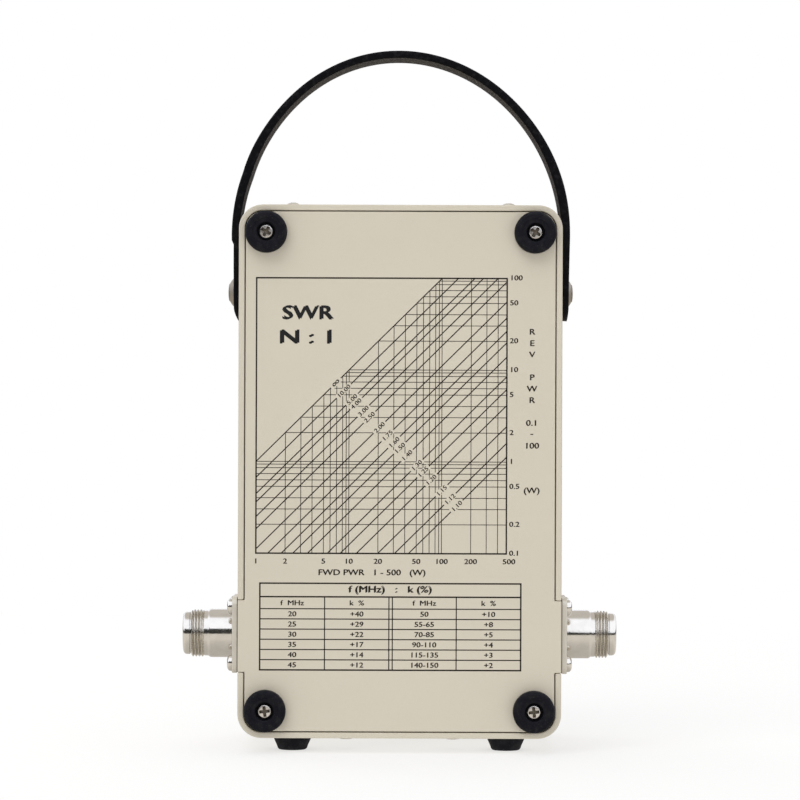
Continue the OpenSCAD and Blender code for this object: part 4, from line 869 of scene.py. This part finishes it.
# Printed marks
class Print:
    """Ink on a face that looks forward (side 1) or back (side -1).

    u is to the reader's right, v up and w out of the face, all in millimetres from origin."""

    def __init__(self, origin, side, thick=0.03):
        self.origin, self.side, self.thick = Vector(origin), side, thick
        self.bm = bmesh.new()

    def at(self, u, v, w=0.0):
        return self.origin + Vector((self.side * u, -self.side * w, v)) * MM

    def prism(self, outline):
        """Thin solid over a convex outline, listed anticlockwise."""
        levels = self.thick, 0
        solid(self.bm, [[self.bm.verts.new(self.at(u, v, w)) for u, v in outline] for w in levels])

    def line(self, a, b, width):
        du, dv = b[0] - a[0], b[1] - a[1]
        length = math.hypot(du, dv)
        if length < 1e-6:
            return
        nu, nv = -dv / length * width / 2, du / length * width / 2
        self.prism([(a[0] - nu, a[1] - nv), (b[0] - nu, b[1] - nv),
                    (b[0] + nu, b[1] + nv), (a[0] + nu, a[1] + nv)])

    def ray(self, centre, turn, inner, outer, width):
        """Line away from centre, turn degrees clockwise from straight up."""
        s, c = sin(radians(turn)), cos(radians(turn))
        self.line(*((centre[0] + r * s, centre[1] + r * c) for r in (inner, outer)), width)

    def frame(self, left, low, right, high, width):
        for v in (low, high):
            self.line((left - width / 2, v), (right + width / 2, v), width)
        for u in (left, right):
            self.line((u, low), (u, high), width)

    def curve(self, radius, start, stop, width):
        """Arc round the origin from start to stop, in degrees clockwise from straight up."""
        steps = int((stop - start) / 2)
        inner, outer = radius - width / 2, radius + width / 2
        for i in range(steps):
            s, t = (radians(start + (stop - start) * (i + k) / steps) for k in (0, 1))
            ring = ((outer, s), (outer, t), (inner, t), (inner, s))
            self.prism([(r * sin(a), r * cos(a)) for r, a in ring])

    def text(self, words, u, v, height, turn=0.0, bold=0.045, align="CENTER", squeeze=1.2):
        """Lettering centred at (u, v) with that capital height, turned anticlockwise by degrees.

        squeeze is its width, and bold a share of the height by which the strokes are struck twice."""
        cap = 0.729
        data = bpy.data.curves.new("lettering", "FONT")
        data.body = words
        data.size = 1.0
        data.align_x, data.align_y = align, "CENTER"
        data.resolution_u = 3
        holder = new_object("lettering", data)
        bpy.context.view_layer.update()
        shaped = holder.evaluated_get(bpy.context.evaluated_depsgraph_get())
        mesh = bpy.data.meshes.new_from_object(shaped)
        bpy.data.objects.remove(holder)
        bpy.data.curves.remove(data)
        size = height / cap
        mid = (min(p.co.y for p in mesh.vertices) + max(p.co.y for p in mesh.vertices)) / 2
        c, s = cos(radians(turn)), sin(radians(turn))
        flat = bmesh.new()
        flat.from_mesh(mesh)
        bpy.data.meshes.remove(mesh)
        bmesh.ops.remove_doubles(flat, verts=flat.verts, dist=1e-5)
        rim = [e for e in flat.edges if len(e.link_faces) == 1]
        for strike in (-1, 1):
            made = {}
            shift = strike * bold * height
            level = self.thick + 0.002 * (strike + 1)
            for p in flat.verts:
                x, y = p.co.x * size * squeeze + shift, (p.co.y - mid) * size + shift / 2
                spot = (u + x * c - y * s, v + x * s + y * c)
                made[p] = (self.bm.verts.new(self.at(*spot)), self.bm.verts.new(self.at(*spot, level)))
            for face in flat.faces:
                self.bm.faces.new([made[p][1] for p in face.verts])
                self.bm.faces.new([made[p][0] for p in reversed(face.verts)])
            for e in rim:
                a, b = e.verts
                self.bm.faces.new((made[a][0], made[b][0], made[b][1], made[a][1]))
        flat.free()

    def done(self, name, material, body="instrument", slot="case_paint"):
        add_piece(name, self.bm, body, slot, material, angle=20)


def cover_print(thick=0.03):
    """Prints on the rear cover are placed from its middle, as seen from behind."""
    low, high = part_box("rear_cover")
    return Print((0, high.y, (low.z + high.z) / 2), -1, thick)


THIN, BOLD, FRAME = 0.23, 0.36, 0.50
NUMBER_H, TITLE_H, VALUE_H = 1.75, 2.0, 1.5

# Chart of reflected against forward power, and where its lines of constant ratio carry their values
CHART_LEFT, CHART_RIGHT = -48.0, 35.5
CHART_LOW, CHART_HIGH = -27.3, 64.5
FWD_MAX, REV_MIN, REV_MAX = 500, 0.1, 100
DECADE_U = (CHART_RIGHT - CHART_LEFT) / math.log10(FWD_MAX)
DECADE_V = (CHART_HIGH - CHART_LOW) / 3
DECADE_SHARES = [0.0, 0.315, 0.482, 0.604, 0.728, 0.799, 0.867, 0.931, 0.97]
SWR_VALUES = [math.inf, 10, 5, 4, 3, 2.5, 2, 1.75, 1.6, 1.5, 1.4, 1.3, 1.25, 1.2, 1.15, 1.12, 1.1]
BAND_START = Vector((-22.5, 30.5))


def chart_u(forward):
    return CHART_LEFT + DECADE_U * math.log10(forward)


def chart_v(reflected):
    return CHART_LOW + DECADE_V * (math.log10(reflected) + 1)


def printed(power):
    """Power whose exact place is where this one is printed: the grid isn't quite logarithmic."""
    decade = math.floor(math.log10(power) + 1e-9)
    return 10 ** (decade + DECADE_SHARES[round(power / 10 ** decade) - 1])


def chart_grid():
    """Grid of reflected against forward power, drawn where reflected is below forward."""
    ink = cover_print()
    ink.frame(CHART_LEFT, CHART_LOW, CHART_RIGHT, CHART_HIGH, FRAME)
    for decade in range(3):
        for step in range(1, 10):
            forward = step * 10 ** decade
            if 1 < forward < FWD_MAX:
                u = chart_u(printed(forward))
                ink.line((u, CHART_LOW), (u, chart_v(min(printed(forward), REV_MAX))), THIN)
            reflected = step * 10 ** (decade - 1)
            if reflected > REV_MIN:
                v = chart_v(printed(reflected))
                ink.line((chart_u(max(printed(reflected), 1)), v), (CHART_RIGHT, v), THIN)
    ink.done("chart_grid", "ink")


def chart_curves():
    """Straight lines of constant standing wave ratio, each broken round its value on bare paint."""
    ink, gaps, numbers = cover_print(), cover_print(0.04), cover_print(0.05)
    along = math.atan(DECADE_V / DECADE_U)
    run = Vector((cos(along), sin(along)))
    for swr in SWR_VALUES:
        endless = swr == math.inf
        ratio = 1.0 if endless else ((swr - 1) / (swr + 1)) ** 2
        # Ends of the line on the chart's frame
        start = Vector((CHART_LEFT, chart_v(ratio)))
        if ratio < REV_MIN:
            start = Vector((chart_u(REV_MIN / ratio), CHART_LOW))
        top = Vector((chart_u(REV_MAX / ratio), CHART_HIGH))
        if REV_MAX / ratio > FWD_MAX:
            top = Vector((CHART_RIGHT, chart_v(FWD_MAX * ratio)))
        label = "∞" if endless else f"{swr:.2f}"
        spot = start + run * (BAND_START - start).dot(run)
        half = run * (0.5 * VALUE_H * (2.6 if endless else len(label) * 0.8) + 0.35)
        ink.line(start, spot - half, BOLD)
        ink.line(spot + half, top, BOLD)
        gaps.line(spot - half, spot + half, 1.25 * VALUE_H)
        numbers.text(label, *spot, (1.3 if endless else 1.0) * VALUE_H, math.degrees(along))
    ink.done("chart_swr_lines", "ink")
    gaps.done("chart_label_gaps", "case_paint")
    numbers.done("chart_swr_values", "ink")


def chart_scales():
    """Plain numbers along both axes, with short generic titles."""
    title_u, title_v = (CHART_LEFT + CHART_RIGHT) / 2 - 3, CHART_LOW - 6.6
    stack_u, stack_v, stack_step = CHART_RIGHT + 8.4, 46.8, 3.8
    heading_u, heading_h = -31.0, 4.7
    ink = cover_print()
    for value in (1, 2, 5, 10, 20, 50, 100, 200, 500):
        ink.text(str(value), chart_u(printed(value)), CHART_LOW - 2.6, NUMBER_H)
    for value in (0.1, 0.2, 0.5, 1, 2, 5, 10, 20, 50, 100):
        v = chart_v(printed(value)) + 0.25
        ink.text(f"{value:g}", CHART_RIGHT + 0.9, v, NUMBER_H, align="LEFT")
    ink.text("FWD PWR   1 - 500   (W)", title_u, title_v, TITLE_H)
    for i, word in enumerate((*"REV", "", *"PWR", "", "0.1", "-", "100", "", "", "", "(W)")):
        if word:
            ink.text(word, stack_u, stack_v - stack_step * i, TITLE_H)
    ink.done("chart_scales", "ink")
    heading = cover_print()
    heading.text("SWR", heading_u, 53.0, heading_h, bold=0.065, squeeze=1.25)
    heading.text("N : 1", heading_u, 44.9, heading_h, bold=0.065, squeeze=1.45)
    heading.done("chart_heading", "heading_ink")


def correction(megahertz):
    """Text of a generic correction in percent that falls with frequency."""
    return f"+{round(40 * (20 / megahertz) ** 1.5)}"


def correction_table():
    """Table of frequency against correction, its numbers worked out by one rule."""
    left, right = -46.6, 40.4
    high, title_low, header_low, low = -37.3, -41.8, -45.8, -66.2
    columns = [-25.0, -3.55, -2.4, 18.9]
    single = range(20, 50, 5)
    spans = [(50, 50), (55, 65), (70, 85), (90, 110), (115, 135), (140, 150)]
    rows = len(single)
    pitch = (header_low - low) / rows
    ink = cover_print()
    ink.frame(left, low, right, high, FRAME)
    ink.line((left, title_low), (right, title_low), FRAME)
    for i in range(rows):
        ink.line((left, header_low - i * pitch), (right, header_low - i * pitch), BOLD)
    for u in columns:
        ink.line((u, title_low), (u, low), BOLD)
    sides = (left, columns[0]), columns[:2], columns[2:], (columns[3], right)
    centres = [(a + b) / 2 for a, b in sides]
    lines = [((title_low + header_low) / 2, ("f  MHz", "k  %") * 2)]
    for i, (value, (least, most)) in enumerate(zip(single, spans)):
        span = str(least) if least == most else f"{least}-{most}"
        words = str(value), correction(value), span, correction((least + most) / 2)
        lines.append((header_low - (i + 0.5) * pitch, words))
    for v, words in lines:
        for u, word in zip(centres, words):
            ink.text(word, u, v, NUMBER_H)
    title_u, title_v = (left + right) / 2, (high + title_low) / 2
    ink.text("f (MHz)   :   k (%)", title_u, title_v, 2.3, bold=0.07, squeeze=1.25)
    ink.done("correction_table", "ink")


# Front of the instrument
def dial_print():
    """Two power scales on the meter's plate, marked by square root of power, and their numbers."""
    swing, upper, lower = 45, 38.5, 33.0
    line_w, fine_w = 0.3, 0.18
    ink = Print((0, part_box("meter_scale")[0].y, middle("pivot_staff").z), 1)

    def angle(share):
        return -swing + 2 * swing * math.sqrt(share)

    def number(value, top, radius, height):
        t = radians(angle(value / top))
        ink.text(str(value), radius * sin(t), radius * cos(t), height, -math.degrees(t))

    ink.curve(upper, -swing, swing, line_w)
    ink.curve(lower, -swing, swing, line_w)
    for i in range(51):
        length = 2.2 if i % 10 == 0 else 1.6 if i % 5 == 0 else 1.1
        ink.ray((0, 0), angle(i / 50), upper, upper + length, fine_w if i % 10 else line_w)
    for i in range(31):
        length = 1.0 if i % 10 else 2.0
        ink.ray((0, 0), angle(i / 30), lower - length, lower, fine_w if i % 10 else line_w)
    for value in range(6):
        number(value, 5, upper + 4.0, 2.6)
    for value in (0, 5, 10, 15):
        number(value, 15, lower - 3.8, 2.2)
    ink.text("W", 0, 23.5, 3.2)
    ink.done("dial_marks", "dial_ink", slot="scale_white")


def panel_print():
    """Range numbers round the knob and the two positions of the forward/reverse switch."""
    low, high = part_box("range_knob")
    letter_h, switch_gap = 2.8, 13.5
    ink = Print((0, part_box("front_panel")[0].y, (low.z + high.z) / 2), 1)
    knob_u, reach = (low.x + high.x) / 2 / MM, (high.x - low.x) / 2 / MM
    for i, value in enumerate((5, 15, 50, 150, 500)):
        turn = -60 + 30 * i
        t = radians(turn)
        ink.ray((knob_u, 0), turn, reach + 1.2, reach + 2.8, 0.5)
        u, v = knob_u + (reach + 7.8) * sin(t), (reach + 5.6) * cos(t)
        ink.text(str(value), u, v, letter_h, squeeze=1.1)
    ink.text("W", knob_u, -(reach + 5.0), 3.0)
    switch_u = middle("toggle_nut").x / MM
    ink.text("FWD", switch_u, switch_gap, letter_h)
    ink.text("REV", switch_u, -switch_gap, letter_h)
    ink.done("panel_marks", "ink")


def knob_index():
    """White line on the range knob that points at the range in use."""
    centre = middle("range_knob")
    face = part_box("range_knob")[0].y
    mark = Print((centre.x, face, centre.z), 1, 0.05)
    mark.ray((0, 0), -60, 3, 9.6, 1.1)
    mark.done("knob_index", "index_white", "range_control", "meter_black")


# Round edges of the CAD nodes that show, in millimetres
EDGES = {"case_shell": 0.5, "front_panel": 0.4, "rear_cover": 0.4, "meter_housing": 0.5,
         "meter_mask": 0.3, "range_knob": 0.3, "line_block": 0.25, "switch_nut": 0.2, "toggle_nut": 0.2}


def finish_toggle_body():
    """Red body of the lever switch with a plated bushing in front and plated pins behind."""
    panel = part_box("front_panel")[0].y
    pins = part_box("toggle_body")[1].y - 3.9 * MM
    switch = dress("toggle_body", 0.12, ["nickel"])
    for face in switch.data.polygons:
        if face.center.y < panel + 0.5 * MM or face.center.y > pins:
            face.material_index = 1


def finish_nodes():
    """Round edges and turned screws for what shows, and a material for every CAD node that stays."""
    for node, width in EDGES.items():
        dress(node, width)
    finish_toggle_body()
    add_screws("rear_foot_screws", "Y")
    for node in ("bottom_foot_screws", "line_post_screws"):
        add_screws(node, "Z")
    add_screws("cover_screws", "Z", 0.9, 0.9, 0.4, 0.25 * MM, 0.95, "nickel_satin")
    add_screws("jack_screws", "X", 0.6, 0.7, 0.5, material="nickel")
    # Strap screws take the darker nickel that paints shade and the strap's reflection
    add_screws("strap_screws", "X", 0.95, 0.9, 0.3, 0.1 * MM, material="nickel_cup_shaded")
    add_cup_washers()
    for node, obj in frame["nodes"].items():
        obj.data.materials.clear()
        obj.data.materials.append(MATERIALS[slot_of[node]])


add_camera()
add_world()
add_floor()
add_flags()
for softbox in SOFTBOXES:
    add_softbox(*softbox)
finish_nodes()
add_rear_feet()
add_bottom_feet()
add_strap()
add_jack("left_jack", -1)
add_jack("right_jack", 1)
chart_grid()
chart_curves()
chart_scales()
correction_table()
dial_print()
panel_print()
knob_index()

bpy.context.scene.view_settings.view_transform = "Standard"
